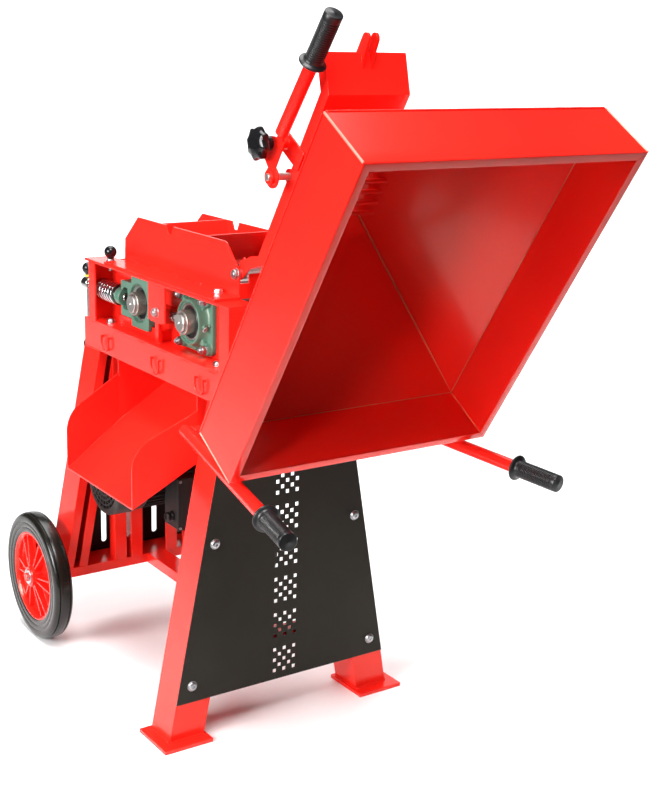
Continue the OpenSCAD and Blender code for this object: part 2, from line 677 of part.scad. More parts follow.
side_beam();  // side_beam_near
far() side_beam();  // side_beam_far
foot_leg();  // foot_leg_near
far() foot_leg();  // foot_leg_far
wheel_leg();  // wheel_leg_near
far() wheel_leg();  // wheel_leg_far
foot_plates();
head_cross_beams();
rear_rail();
cross_brace();
front_rail();
motor_rails();
front_panel();
rear_vent_panel();
head_side();  // head_side_near
far() head_side();  // head_side_far
head_end_plates();
take_up_guides();
stop_brackets();
inlet_box();
inlet_baffles();
discharge_chute();
handle();  // handle_near
far() handle();  // handle_far
handle_grips();
wheel_axle();
wheel_rim();  // wheel_rim_near
far() wheel_rim();  // wheel_rim_far
tyre();  // tyre_near
far() tyre();  // tyre_far
flange_bearings();
take_up_bearings();
fixed_roller();
fixed_shaft();
sprung_roller();
sprung_shaft();
take_up_spring();  // take_up_spring_near
far() take_up_spring();  // take_up_spring_far
spindle();  // spindle_near
far() spindle();  // spindle_far
tommy_bar();  // tommy_bar_near
far() tommy_bar();  // tommy_bar_far
clamp_knob();  // clamp_knob_near
far() clamp_knob();  // clamp_knob_far
hopper_rim();
hopper_funnel();
inlet_lid();
hopper_pivots();
lock_bracket();
gate_flap();
gate_lever();
lever_grip();
star_knob();
swing_bolt();
motor_body();
fan_cowl();
motor_rotor();
drive_belt();
belt_guard();
bolts();
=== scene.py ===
import random
from math import atan2, cos, hypot, pi, radians, sin, tan

import bmesh
import bpy
from mathutils import Matrix, Vector


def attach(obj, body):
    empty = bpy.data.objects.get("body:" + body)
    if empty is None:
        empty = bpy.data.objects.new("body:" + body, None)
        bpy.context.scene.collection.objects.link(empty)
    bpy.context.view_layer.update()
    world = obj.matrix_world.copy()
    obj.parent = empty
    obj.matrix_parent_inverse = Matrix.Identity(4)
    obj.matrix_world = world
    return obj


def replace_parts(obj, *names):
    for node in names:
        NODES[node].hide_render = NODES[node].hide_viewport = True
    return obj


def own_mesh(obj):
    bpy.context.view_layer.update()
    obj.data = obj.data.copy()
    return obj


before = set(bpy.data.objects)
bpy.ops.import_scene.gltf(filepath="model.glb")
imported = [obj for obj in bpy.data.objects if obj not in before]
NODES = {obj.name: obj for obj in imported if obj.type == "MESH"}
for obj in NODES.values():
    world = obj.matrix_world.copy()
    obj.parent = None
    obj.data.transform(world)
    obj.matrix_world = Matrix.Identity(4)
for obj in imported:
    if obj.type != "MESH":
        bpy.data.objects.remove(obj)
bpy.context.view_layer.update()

D = bpy.data
SCENE = bpy.context.scene

# camera, fitted to the photograph
CAM_AT = Vector((2.3572, -1.4844, 1.4359))
CAM_RIGHT = Vector((0.5625, 0.8265, 0.0265))
CAM_BACK = Vector((0.7950, -0.5493, 0.2574))
FOCAL_PX, IMAGE_H = 1385.0, 793
SENSOR = 36.0

cam_data = D.cameras.new("camera")
cam_data.sensor_fit = "VERTICAL"
cam_data.sensor_height = SENSOR
cam_data.sensor_width = SENSOR
cam_data.lens = FOCAL_PX / IMAGE_H * SENSOR
cam_data.clip_start, cam_data.clip_end = 0.05, 60
cam = D.objects.new("camera", cam_data)
back = CAM_BACK.normalized()
right = (CAM_RIGHT - CAM_RIGHT.dot(back) * back).normalized()
up = back.cross(right)
cam.matrix_world = Matrix.Translation(CAM_AT) @ Matrix((right, up, back)).transposed().to_4x4()
SCENE.collection.objects.link(cam)
SCENE.camera = cam


# materials
def new_material(name):
    m = D.materials.new(name)
    m.use_nodes = True
    return m, m.node_tree, m.node_tree.nodes["Principled BSDF"]


def put(node, **values):
    """Sets inputs of a node; an underscore in a name stands for a space."""
    for socket, value in values.items():
        node.inputs[socket.replace("_", " ")].default_value = value
    return node


def blend(nt, factor, socket, *stops):
    """Drives a socket through a ramp of two stops, each a position and a colour or one value."""
    r = nt.nodes.new("ShaderNodeValToRGB")
    nt.links.new(factor, r.inputs["Fac"])
    for e, (position, c) in zip(r.color_ramp.elements, stops):
        e.position = position
        e.color = (*c, 1) if isinstance(c, tuple) else (c, c, c, 1)
    nt.links.new(r.outputs["Color"], socket)


def coords(nt, scale=(1, 1, 1)):
    tc = nt.nodes.new("ShaderNodeTexCoord")
    mp = put(nt.nodes.new("ShaderNodeMapping"), Scale=scale)
    nt.links.new(tc.outputs["Object"], mp.inputs["Vector"])
    return mp.outputs["Vector"]


def noise(nt, vec, scale, detail=4, rough=0.5):
    n = put(nt.nodes.new("ShaderNodeTexNoise"), Scale=scale, Detail=detail, Roughness=rough)
    nt.links.new(vec, n.inputs["Vector"])
    return n.outputs["Fac"]


def relief(nt, p, height, strength, distance, radius):
    """A fine bump on a normal that rounds the sheet edges."""
    edge = put(nt.nodes.new("ShaderNodeBevel"), Radius=radius)
    edge.samples = 6
    b = put(nt.nodes.new("ShaderNodeBump"), Strength=strength, Distance=distance)
    nt.links.new(height, b.inputs["Height"])
    nt.links.new(edge.outputs["Normal"], b.inputs["Normal"])
    nt.links.new(b.outputs["Normal"], p.inputs["Normal"])


def paint(name, base, dark, rough=0.22, peel=0.10, coat=0.15, spec=0.38):
    """Powder coat: slow colour drift, orange-peel skin, softened sheet edges."""
    m, nt, p = new_material(name)
    v = coords(nt)
    blend(nt, noise(nt, v, 3.0, 3), p.inputs["Base Color"], (0.35, dark), (0.65, base))
    blend(nt, noise(nt, v, 14.0, 5, 0.6), p.inputs["Roughness"], (0.35, rough * 0.96), (0.7, rough * 1.06))
    put(p, Coat_Weight=coat, Coat_Roughness=0.07, Coat_Tint=(1.0, 0.97, 0.93, 1),
        Specular_IOR_Level=spec, Specular_Tint=(1.0, 0.86, 0.70, 1))
    relief(nt, p, noise(nt, v, 150.0, 2, 0.4), peel, 0.0004, 0.0012)
    return m


def metal(name, base, dark, rough=0.3, scale=60.0, stretch=(1, 1, 1)):
    """Bare metal: grain that shows in colour, roughness and a faint bump."""
    m, nt, p = new_material(name)
    n = noise(nt, coords(nt, stretch), scale, 5, 0.65)
    blend(nt, n, p.inputs["Base Color"], (0.3, dark), (0.7, base))
    blend(nt, n, p.inputs["Roughness"], (0.3, rough * 1.3), (0.7, rough * 0.8))
    put(p, Metallic=1.0)
    relief(nt, p, n, 0.15, 0.0003, 0.0006)
    return m


def plastic(name, base, light, rough=0.45, grain=500.0, strength=0.12):
    """Moulded plastic or rubber: a slow drift in colour and a fine grain."""
    m, nt, p = new_material(name)
    v = coords(nt)
    blend(nt, noise(nt, v, 9.0, 4), p.inputs["Base Color"], (0.35, base), (0.7, light))
    put(p, Specular_IOR_Level=0.36)
    g = noise(nt, v, grain, 2)
    blend(nt, g, p.inputs["Roughness"], (0.3, rough * 0.85), (0.7, rough * 1.15))
    relief(nt, p, g, strength, 0.0003, 0.001)
    return m


RED = paint("red_powder_coat", (0.84, 0.018, 0.010), (0.80, 0.013, 0.009), peel=0.035)
BLACK = paint("black_powder_coat", (0.019, 0.018, 0.015), (0.014, 0.013, 0.011), rough=0.46,
              peel=0.22, coat=0.0, spec=0.14)
# painted highlight: the hopper's seam fillets get a lighter, more orange red than the paint, standing in for the light
# that catches these edges
SEAM_HIGHLIGHT = paint("seam_painted_highlight", (0.74, 0.15, 0.075), (0.62, 0.06, 0.035), rough=0.30, peel=0.1)
# painted highlight: the rim's corner fillets get a pale salmon colour, standing in for the light caught on the rounded
# corners
CORNER_HIGHLIGHT = paint("rim_corner_painted_highlight", (0.86, 0.34, 0.27), (0.84, 0.10, 0.07), rough=0.16, peel=0.1, spec=0.6)
MOTOR = paint("motor_black", (0.020, 0.020, 0.021), (0.012, 0.012, 0.013), rough=0.45, peel=0.4, coat=0.0)
GREEN = paint("green_casting", (0.082, 0.185, 0.135), (0.058, 0.140, 0.100), rough=0.34, peel=0.5, coat=0.15)
ZINC = metal("bright_zinc", (0.50, 0.50, 0.50), (0.30, 0.31, 0.33), rough=0.32)
STEEL = metal("turned_steel", (0.52, 0.50, 0.47), (0.36, 0.345, 0.325), rough=0.40, scale=30, stretch=(1, 14, 1))
SPRING = metal("zinc_spring", (0.72, 0.73, 0.74), (0.52, 0.54, 0.56), rough=0.20)
BRIGHT = metal("bright_steel", (0.52, 0.52, 0.51), (0.34, 0.34, 0.335), rough=0.22, scale=90)
THREADED = metal("threaded_bar", (0.17, 0.17, 0.165), (0.085, 0.085, 0.082), rough=0.34, scale=120)
ROLLER = metal("roller_steel", (0.40, 0.39, 0.38), (0.22, 0.21, 0.20), rough=0.38)
GRIP = plastic("black_grip", (0.007, 0.007, 0.0075), (0.012, 0.012, 0.013), rough=0.34)
GLOSS = plastic("black_gloss", (0.006, 0.006, 0.007), (0.010, 0.010, 0.011), rough=0.12, strength=0.02)
TYRE = plastic("tyre_rubber", (0.0050, 0.0046, 0.0034), (0.0090, 0.0083, 0.0062), rough=0.24, grain=70.0,
               strength=0.04)
BELT = plastic("belt_rubber", (0.012, 0.012, 0.012), (0.02, 0.02, 0.02), rough=0.7)
YELLOW = plastic("yellow_ring", (0.85, 0.62, 0.02), (0.9, 0.7, 0.05), rough=0.4)

LOOK = {name: mat for mat, names in (
    (BLACK, "front_panel rear_vent_panel"), (MOTOR, "motor_body fan_cowl"),
    (GREEN, "flange_bearings take_up_bearings"), (STEEL, "motor_rotor fixed_shaft sprung_shaft gate_flap"),
    (ROLLER, "fixed_roller sprung_roller"), (SPRING, "take_up_spring_near take_up_spring_far"),
    (BRIGHT, "spindle_near spindle_far tommy_bar_near tommy_bar_far"), (GLOSS, "clamp_knob_near clamp_knob_far"),
    (GRIP, "star_knob lever_grip handle_grips"), (TYRE, "tyre_near tyre_far"), (BELT, "drive_belt"),
    (ZINC, "bolts hopper_pivots wheel_axle swing_bolt")) for name in names.split()}
for name, obj in NODES.items():
    obj.data.materials.clear()
    obj.data.materials.append(LOOK.get(name, RED))

# floor and light, metres
FLOOR_FROM, FLOOR_TO, BEND, WALL_TOP, HALF_WIDTH = -1.05, 9.0, 2.5, 7.0, 4.6
# a pale floor that curves up into a wall far behind the machine, seen from the camera's side
away = Vector((-CAM_BACK.x, -CAM_BACK.y, 0)).normalized()
across = Vector((-away.y, away.x, 0))
profile = [(FLOOR_FROM, 0.0), (FLOOR_TO, 0.0)]
profile += [(FLOOR_TO + BEND * sin(radians(t)), BEND - BEND * cos(radians(t))) for t in range(6, 91, 6)]
profile.append((FLOOR_TO + BEND, WALL_TOP))
floor_mesh = D.meshes.new("floor")
floor_mesh.from_pydata(
    [away * d + across * w + Vector((0, 0, z)) for d, z in profile for w in (-HALF_WIDTH, HALF_WIDTH)], [],
    [(2 * i + 1, 2 * i, 2 * i + 2, 2 * i + 3) for i in range(len(profile) - 1)])
floor_mesh.polygons.foreach_set("use_smooth", [True] * len(floor_mesh.polygons))
floor = D.objects.new("floor", floor_mesh)
SCENE.collection.objects.link(floor)
fm, fnt, fp = new_material("pale_floor")
blend(fnt, noise(fnt, coords(fnt), 1.2, 3), fp.inputs["Base Color"],
      (0.3, (0.86, 0.86, 0.86)), (0.7, (0.90, 0.90, 0.90)))
put(fp, Roughness=0.8)
floor_mesh.materials.append(fm)

# the camera sees a white surrounding, while its light on the machine stays low
SEEN_MORE, LIGHT_GIVEN = 0.90, 0.042
world = D.worlds.new("studio")
SCENE.world = world
world.use_nodes = True
tree = world.node_tree
sky = put(tree.nodes["Background"], Color=(1.0, 1.0, 1.0, 1))
seen = tree.nodes.new("ShaderNodeLightPath")
glow = tree.nodes.new("ShaderNodeMath")
glow.operation = "MULTIPLY_ADD"
glow.inputs[1].default_value, glow.inputs[2].default_value = SEEN_MORE, LIGHT_GIVEN
tree.links.new(seen.outputs["Is Camera Ray"], glow.inputs[0])
tree.links.new(glow.outputs[0], sky.inputs["Strength"])

WHITE, WARM = (1, 1, 1), (1.0, 0.95, 0.88)
# name, place, aim, size, watts, spread in degrees, colour
for name, at, aim, size, watts, spread, colour in (
        ("key_light", (0.5, -3.6, 2.0), (-0.1, 0.0, 0.75), (2.0, 1.6), 80, 100, WHITE),
        ("end_light", (1.9, -0.9, 4.4), (0.5, 0.0, 0.6), (1.8, 1.8), 44, 70, WHITE),
        ("mouth_light", (2.0, -3.0, 1.15), (0.29, 0.22, 0.62), (0.5, 0.5), 2.0, 30, WARM),
        ("top_light", (-1.6, 0.5, 4.2), (-1.0, 0.4, 0.0), (3.0, 3.0), 84, 110, WHITE),
        ("wall_light", (-2.5, 1.8, 3.0), (-8.6, 5.9, 3.6), (3.0, 2.0), 420, 120, WHITE),
        ("back_light_a", (-5.5, -0.5, 5.0), (-7.0, 1.0, 0.0), (4.0, 3.0), 260, 120, WHITE),
        ("back_light_b", (-2.0, 4.5, 5.0), (-3.0, 6.0, 0.0), (4.0, 3.0), 260, 120, WHITE)):
    d = D.lights.new(name, "AREA")
    d.shape = "RECTANGLE"
    d.size, d.size_y = size
    d.energy = watts
    d.color = colour
    d.spread = radians(spread)
    lamp = D.objects.new(name, d)
    lamp.location = at
    lamp.rotation_mode = "QUATERNION"
    lamp.rotation_quaternion = (Vector(aim) - Vector(at)).to_track_quat("-Z", "Y")
    SCENE.collection.objects.link(lamp)


# mesh toolkit, millimetres
def turned(degrees, axis="Z"):
    return Matrix.Rotation(radians(degrees), 4, axis)


def moved(x, y, z):
    return Matrix.Translation((x, y, z))


MM = 0.001
PIVOT = Vector((7.4, 0, 956))
TIPPED = Matrix.Translation(PIVOT) @ turned(122, "Y") @ Matrix.Translation(-PIVOT)
FAR = Matrix.Diagonal((1, -1, 1, 1))
SIDES = (("near", Matrix.Identity(4)), ("far", FAR))


def piece(name, bm, mat, body, angle=35, at=None, bevel=0.0):
    """Turns a bmesh in millimetres into a shaded object in metres that rides on a body."""
    if at is not None:
        bm.transform(at)
        if at.determinant() < 0:
            bmesh.ops.reverse_faces(bm, faces=bm.faces)
    bm.transform(Matrix.Scale(MM, 4))
    me = D.meshes.new(name)
    bm.to_mesh(me)
    bm.free()
    me.materials.append(mat)
    me.polygons.foreach_set("use_smooth", [True] * len(me.polygons))
    me.set_sharp_from_angle(angle=radians(angle))
    obj = D.objects.new(name, me)
    SCENE.collection.objects.link(obj)
    if bevel:
        b = obj.modifiers.new("edge", "BEVEL")
        b.width = bevel * MM
        b.segments = 2
        b.limit_method = "ANGLE"
        b.angle_limit = radians(40)
        b.harden_normals = True
    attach(obj, body)
    return obj


def along(axis, at):
    """Local Z laid along a machine axis, with its origin at a point."""
    degrees, about = {"x": (90, "Y"), "y": (-90, "X"), "-y": (90, "X"), "z": (0, "Z")}[axis]
    return Matrix.Translation(at) @ turned(degrees, about)


def loop(bm, at, points):
    """One ring of points, placed by a matrix."""
    return [bm.verts.new(at @ Vector(p)) for p in points]


def skin(bm, rings, flip=False):
    """Faces from each ring of points to the next; a ring of one point is a tip."""
    for a, b in zip(rings, rings[1:]):
        n = max(len(a), len(b))
        for i in range(n):
            j = (i + 1) % n
            if len(a) == 1:
                bm.faces.new((a[0], b[j], b[i]))
            elif len(b) == 1:
                bm.faces.new((a[i], a[j], b[0]))
            else:
                bm.faces.new((a[i], b[i], b[j], a[j]) if flip else (a[i], a[j], b[j], b[i]))


def tube(bm, rings, flip=False):
    """A skin that is closed at both ends."""
    skin(bm, rings, flip)
    first, last = (rings[-1], rings[0]) if flip else (rings[0], rings[-1])
    bm.faces.new(first[::-1])
    bm.faces.new(last)


def lathe(bm, profile, at, n=40, closed=False):
    """Revolves (radius, height) pairs round the matrix' own Z."""
    circle = [(cos(2 * pi * i / n), sin(2 * pi * i / n)) for i in range(n)]
    rings = [loop(bm, at, [(r * c, r * s, h) for c, s in circle] if r > 0 else [(0, 0, h)]) for r, h in profile]
    skin(bm, rings + rings[:1] if closed else rings)
    return bm


def sweep(bm, pts, r, k):
    """A round bar along a run of points, carried without twist."""
    rings = []
    normal = None
    for i, p in enumerate(pts):
        t = (pts[min(i + 1, len(pts) - 1)] - pts[max(i - 1, 0)]).normalized()
        normal = normal or t.orthogonal().normalized()
        normal = (normal - normal.dot(t) * t).normalized()
        side = t.cross(normal)
        rings.append([bm.verts.new(p + r * (cos(2 * pi * j / k) * normal + sin(2 * pi * j / k) * side))
                      for j in range(k)])
    tube(bm, rings)


def prism(bm, outline, h0, h1, at, chamfer=0.0):
    """An outline in the matrix' own X and Y, raised along its Z, with an optional chamfer on the top."""
    cx = sum(p[0] for p in outline) / len(outline)
    cy = sum(p[1] for p in outline) / len(outline)
    rings = []
    for h, cut in ((h0, 0), (h1 - chamfer, 0), (h1, chamfer)) if chamfer else ((h0, 0), (h1, 0)):
        shrink = [1 - cut / hypot(x - cx, y - cy) for x, y in outline]
        rings.append(loop(bm, at, [(cx + (x - cx) * f, cy + (y - cy) * f, h) for f, (x, y) in zip(shrink, outline)]))
    tube(bm, rings)


def slab(bm, a, b):
    """A rectangular block between two corners."""
    m = Matrix.Translation([(p + q) / 2 for p, q in zip(a, b)]) @ Matrix.Diagonal(
        [abs(q - p) for p, q in zip(a, b)] + [1])
    bmesh.ops.create_cube(bm, size=1, matrix=m)
    return bm


def hex_head(bm, af, h0, h1, at, crown=0.9):
    """A hexagon with its corners turned off in a cone, the way a nut or head is machined."""
    n, flat, levels = 36, af / 2, ([], [], [])
    for i in range(n):
        a = 2 * pi * i / n
        edge = flat / cos((a + pi / 6) % (pi / 3) - pi / 6)
        for level, r, z in zip(levels, (edge, edge, flat * 0.97), (h0, h1 - crown - (edge - flat) * 0.45, h1)):
            level.append((r * cos(a), r * sin(a), z))
    tube(bm, [loop(bm, at, level) for level in levels])


def washer(bm, r0, r1, h0, h1, at):
    lathe(bm, [(r0, h0), (r1, h0), (r1, h1 - 0.3), (r1 - 0.3, h1), (r0 + 0.3, h1), (r0, h1 - 0.3)], at, 32, True)


def thread(bm, r, h0, h1, at, pitch):
    """A stud end with real thread crests, as rings of a saw profile."""
    prof = [(0, h0), (r, h0)]
    h = h0
    while h + pitch < h1 - 0.8:
        prof += [(r, h + pitch * 0.15), (r - pitch * 0.5, h + pitch * 0.55), (r, h + pitch * 0.95)]
        h += pitch
    prof += [(r, h1 - 0.8), (r - 0.8, h1), (0, h1)]
    return lathe(bm, prof, at, 20)


def weld(bm, a, b, width, step, normal, seed):
    """A weld bead: overlapping scale-shaped ripples along a seam, a little uneven in width."""
    rng = random.Random(seed)
    a, d, up = Vector(a), Vector(b) - Vector(a), Vector(normal).normalized()
    side = d.normalized().cross(up).normalized()
    n, k = 2 * max(3, int(d.length / step)), 8
    rings = []
    for i in range(n + 1):
        swell = (1.0 if i % 2 else 0.80) * (1 + 0.10 * rng.uniform(-1, 1)) * (1 if 0 < i < n else 0.35)
        rings.append([bm.verts.new(a + d * (i / n) + width * 0.5 * swell * (
            cos(2 * pi * j / k) * side + 0.72 * sin(2 * pi * j / k) * up)) for j in range(k)])
    tube(bm, rings)


def rounded(points, radii, n):
    """An outline with each corner turned to its own radius."""
    out = []
    for i, (p, r) in enumerate(zip(points, radii)):
        p = Vector((*p, 0))
        a = (Vector((*points[i - 1], 0)) - p).normalized()
        b = (Vector((*points[(i + 1) % len(points)], 0)) - p).normalized()
        half = a.angle(b) / 2
        c = p + (a + b).normalized() * (r / sin(half))
        v0, v1 = (p + v * (r / tan(half)) - c for v in (a, b))
        start = atan2(v0.y, v0.x)
        arc = (atan2(v1.y, v1.x) - start + pi) % (2 * pi) - pi
        out += [(c.x + r * cos(start + arc * k / n), c.y + r * sin(start + arc * k / n)) for k in range(n + 1)]
    return out


# take-up springs and spindles
FIX_X, TAKE_X, SHAFT_Z, SPRING_Y = -129.0, -352.0, 836.5, -112.0
SPRING_FROM, SPRING_TO, TURNS = -531.9, -453.3, 5.0
TOMMY_X = -627.0
CLAMP = along("z", (-513, -108.5, 0))


def spring_mesh():
    """A heavy coil of flat wire with rolled edges; its end coils lie closer together."""
    bm = bmesh.new()
    half_w, half_t, mean, n = 4.75, 4.1, 20.4, int(TURNS * 40)
    section = rounded([(-half_w, -half_t), (half_w, -half_t), (half_w, half_t), (-half_w, half_t)], [1.6] * 4, 3)
    rings = []
    for i in range(n + 1):
        t = i / n
        u = t - 0.014 * sin(4 * pi * t)
        a = 2 * pi * TURNS * t
        x = SPRING_FROM + half_w + (SPRING_TO - SPRING_FROM - 2 * half_w) * u
        rings.append([bm.verts.new((x + p, SPRING_Y + (mean + q) * cos(a), SHAFT_Z + (mean + q) * sin(a)))
                      for p, q in section])
    tube(bm, rings, flip=True)
    return bm


def ball_profile(r, h):
    return [(0, h - r)] + [(r * cos(radians(a)), h + r * sin(radians(a)))
                           for a in range(-80, 81, 10)] + [(0, h + r)]


def crests(prof, r, start, stop, pitch, depth):
    """Adds the crests of a long thread to a profile."""
    h = start
    while h + pitch < stop:
        prof += [(r, h + pitch * 0.2), (r - depth, h + pitch * 0.6), (r, h + pitch)]
        h += pitch


def spindle_mesh():
    prof = [(0, -641), (12.6, -641), (14, -639.4), (14, -613.6), (12.4, -612), (9, -612)]
    crests(prof, 9, -611, -556, 2.5, 1.1)
    prof += [(9, -551), (23.2, -551), (24.5, -549.6), (24.5, -534.4), (24.0, -533.2), (23.0, -532.4), (17.6, -532),
             (16.6, -533.5), (12, -534), (9, -534)]
    crests(prof, 9, -533.5, -428, 2.5, 1.1)
    prof += [(9, -425.5), (7.6, -424), (0, -424)]
    return lathe(bmesh.new(), prof, along("x", (0, SPRING_Y, SHAFT_Z)), 40)


def tommy_mesh():
    prof = [(0, 700), (4.5, 700)]
    crests(prof, 4.5, 701, 858, 1.9, 0.45)
    prof += [(4.5, 862), (0, 862)]
    return lathe(bmesh.new(), prof, along("z", (TOMMY_X, SPRING_Y, 0)), 20)


for side, m in SIDES:
    body = "_a" if side == "near" else "_b"
    s = piece("spring_" + side, spring_mesh(), SPRING, "take_up_carriage", 50, m)
    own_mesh(s)
    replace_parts(s, "take_up_spring_" + side)
    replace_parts(piece("spindle_bar_" + side, spindle_mesh(), BRIGHT, "spindle" + body, 40, m), "spindle_" + side)
    bm = bmesh.new()
    at = along("z", (TOMMY_X, SPRING_Y, 0))
    for z, inwards in ((872, -1), (690, 1)):
        lathe(bm, ball_profile(14.5, z), at, 40)
        lathe(bm, [(r, z + inwards * d) for r, d in ((4.6, 15.4), (6.6, 15.2), (7.4, 14.4), (8.2, 11))], at, 24)
    piece("tommy_balls_" + side, bm, GLOSS, "tommy" + body, 50, m)
    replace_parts(piece("tommy_rod_" + side, tommy_mesh(), THREADED, "tommy" + body, 40, m), "tommy_bar_" + side)
    bm = lathe(bmesh.new(), [(4.6, 852.8), (7.6, 852.8), (8.4, 853.6), (8.4, 856.2), (7.6, 857), (4.6, 857)], at, 28,
               True)
    piece("tommy_ring_" + side, bm, YELLOW, "tommy" + body, 40, m)
    # clamp knob: a glossy ball moulded on a zinc stud
    bm = lathe(bmesh.new(), ball_profile(14.5, 927), CLAMP, 40)
    lathe(bm, [(4.2, 911.4), (7.0, 911.6), (7.8, 912.6), (8.4, 916)], CLAMP, 24)
    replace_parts(piece("clamp_ball_" + side, bm, GLOSS, "clamp" + body, 50, m), "clamp_knob_" + side)
    bm = thread(bmesh.new(), 4, 884, 916, CLAMP, 1.25)
    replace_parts(piece("clamp_stud_" + side, bm, ZINC, "clamp" + body, 40, m), "clamp_knob_" + side)


# bearings
def insert_unit(cx, tag, face, body, m):
    """The bearing insert: ground outer race and the black seal, dished round the inner ring."""
    at = along("-y", (cx, 0, SHAFT_Z))
    race = [(35.0, face - 12), (40.0, face - 12), (40.0, face - 1.6), (38.6, face), (36.0, face), (35.0, face - 1)]
    seal = [(27.0, face - 10), (34.9, face - 10), (34.9, face - 2.8), (33.0, face - 1.8), (30.2, face - 2.8),
            (28.4, face - 1.2), (27.0, face - 1.4)]
    piece("bearing_race_" + tag, lathe(bmesh.new(), race, at, 72, True), STEEL, body, 40, m)
    piece("bearing_seal_" + tag, lathe(bmesh.new(), seal, at, 72, True), GRIP, body, 40, m)


def cast_plate(bm, outline, back, front, at, hub, soft=2.6):
    """A casting flange with a rolled upper edge, open in the middle up to a round hub."""
    rings = []
    for h, d in ((back, 0), (front - soft, 0), (front - soft * 0.35, soft * 0.3), (front, soft)):
        rings.append(loop(bm, at, [(x * (1 - d / hypot(x, y)), y * (1 - d / hypot(x, y)), h) for x, y in outline]))
    for h in (front, back):
        rings.append(loop(bm, at, [(hub * x / hypot(x, y), hub * y / hypot(x, y), h) for x, y in outline]))
    skin(bm, rings + rings[:1])


def dense(outline, step=6.0):
    """Extra points along the straight runs, so that a ring joined to them stays round."""
    out = []
    for p, q in zip(outline, outline[1:] + outline[:1]):
        k = max(1, int(hypot(q[0] - p[0], q[1] - p[1]) / step))
        out += [(p[0] + (q[0] - p[0]) * j / k, p[1] + (q[1] - p[1]) * j / k) for j in range(k)]
    return out


SQUARE = dense(rounded([(-65, -65), (65, -65), (65, 65), (-65, 65)], [15] * 4, 6))


def flange_casting_mesh():
    bm = bmesh.new()
    at = along("-y", (FIX_X, 0, SHAFT_Z))
    cast_plate(bm, SQUARE, 86.5, 97, at, 42)
    lathe(bm, [(60, 96.6), (57.6, 97.6), (54.8, 100.2), (52, 104.5), (50.6, 108.6), (49.6, 112), (48.4, 117.6),
               (47.6, 118.7), (46.2, 119.1), (44.9, 118.6), (44.2, 117.2), (43.6, 114.4), (40.2, 113.4), (40.2, 100)],
          at, 72)
    for a in (45, 135, 225, 315):
        m = at @ turned(a)
        # a ridge falls from the hub to each bolt boss
        outline = rounded([(44, -10), (64, -5.5), (64, 5.5), (44, 10)], [1, 3, 3, 1], 3)
        prism(bm, outline, 96, 107.5, m, 2.2)
        b = m @ moved(72.1, 0, 0)
        lathe(bm, [(14.6, 96.4), (13.2, 98.4), (12.4, 101), (12.1, 105.2), (11.4, 106), (5.4, 106), (5.4, 97)], b, 36)
    for a in (0, 90, 180, 270):
        m = at @ turned(a)
        outline = rounded([(49, -3.2), (61, -3.2), (61, 3.2), (49, 3.2)], [1, 2.8, 2.8, 1], 3)
        prism(bm, outline, 96, 101.5, m, 1.4)
    # tapped boss for the grease nipple
    lathe(bm, [(7.4, 44), (7.0, 50), (6.0, 55.5), (4.2, 56.4), (0, 56.4)],
          moved(FIX_X, -105, SHAFT_Z - 4) @ turned(90, "Y"), 28)
    return bm


def arc_points(cx, cy, r, a0, a1, n):
    angles = [radians(a0 + (a1 - a0) * i / n) for i in range(n + 1)]
    return [(cx + r * cos(a), cy + r * sin(a)) for a in angles]


def slab_with_holes(bm, outer, holes, y_back, y_front):
    """A vertical plate in X and Z with shaped holes."""
    flat = bmesh.new()
    edges = []
    for outline in [outer] + holes:
        vs = [flat.verts.new((x, y_front, z)) for x, z in outline]
        edges += [flat.edges.new((vs[i], vs[(i + 1) % len(vs)])) for i in range(len(vs))]
    geom = bmesh.ops.triangle_fill(flat, use_beauty=True, use_dissolve=False, edges=edges)
    faces = [g for g in geom["geom"] if isinstance(g, bmesh.types.BMFace)]
    bmesh.ops.recalc_face_normals(flat, faces=faces)
    if faces[0].normal.y > 0:
        bmesh.ops.reverse_faces(flat, faces=faces)
    ext = bmesh.ops.extrude_face_region(flat, geom=faces)
    shifted = [g for g in ext["geom"] if isinstance(g, bmesh.types.BMVert)]
    bmesh.ops.translate(flat, verts=shifted, vec=(0, y_back - y_front, 0))
    bmesh.ops.recalc_face_normals(flat, faces=flat.faces)
    me = D.meshes.new("scratch")
    flat.to_mesh(me)
    flat.free()
    bm.from_mesh(me)
    D.meshes.remove(me)


def take_up_mesh():
    bm = bmesh.new()
    outer = rounded([(-385, 780.5), (-302, 780.5), (-302, 894), (-385, 894), (-385, 876.5), (-437, 876.5),
                     (-437, 796.5), (-385, 796.5)], [3, 7, 4, 3, 2, 5, 5, 2], 4)
    hub = arc_points(TAKE_X, SHAFT_Z, 44.2, 0, 354, 59)
    slot = arc_points(-407, SHAFT_Z, 28.4, 243, 117, 16) + [(-406, 862), (-404.5, 860.5)] + \
        arc_points(TAKE_X, SHAFT_Z, 53, 165, 195, 8) + [(-404.5, 812.5), (-406, 811)]
    slab_with_holes(bm, outer, [hub, slot], -112.6, -120.5)
    body = rounded([(-385, 792), (-302, 792), (-302, 882), (-385, 882), (-385, 876), (-436, 876),
                    (-436, 797), (-385, 797)], [2] * 8, 2)
    slab_with_holes(bm, body, [hub, slot], -88.2, -112.6)
    return bm


def take_up_ring_mesh():
    bm = bmesh.new()
    at = along("-y", (TAKE_X, 0, SHAFT_Z))
    lathe(bm, [(44.3, 119.6), (43.4, 120.6), (42.2, 119.6), (41.6, 114.6), (40.2, 113.4), (40.2, 98)], at, 72)
    # the boss that the spindle passes through, with its spring seat
    s = along("x", (0, SPRING_Y, SHAFT_Z))
    lathe(bm, [(9.6, -453), (17.2, -453), (19.2, -452), (20, -450), (20, -432), (18, -429.5), (9.6, -429)], s, 40,
          True)
    return bm


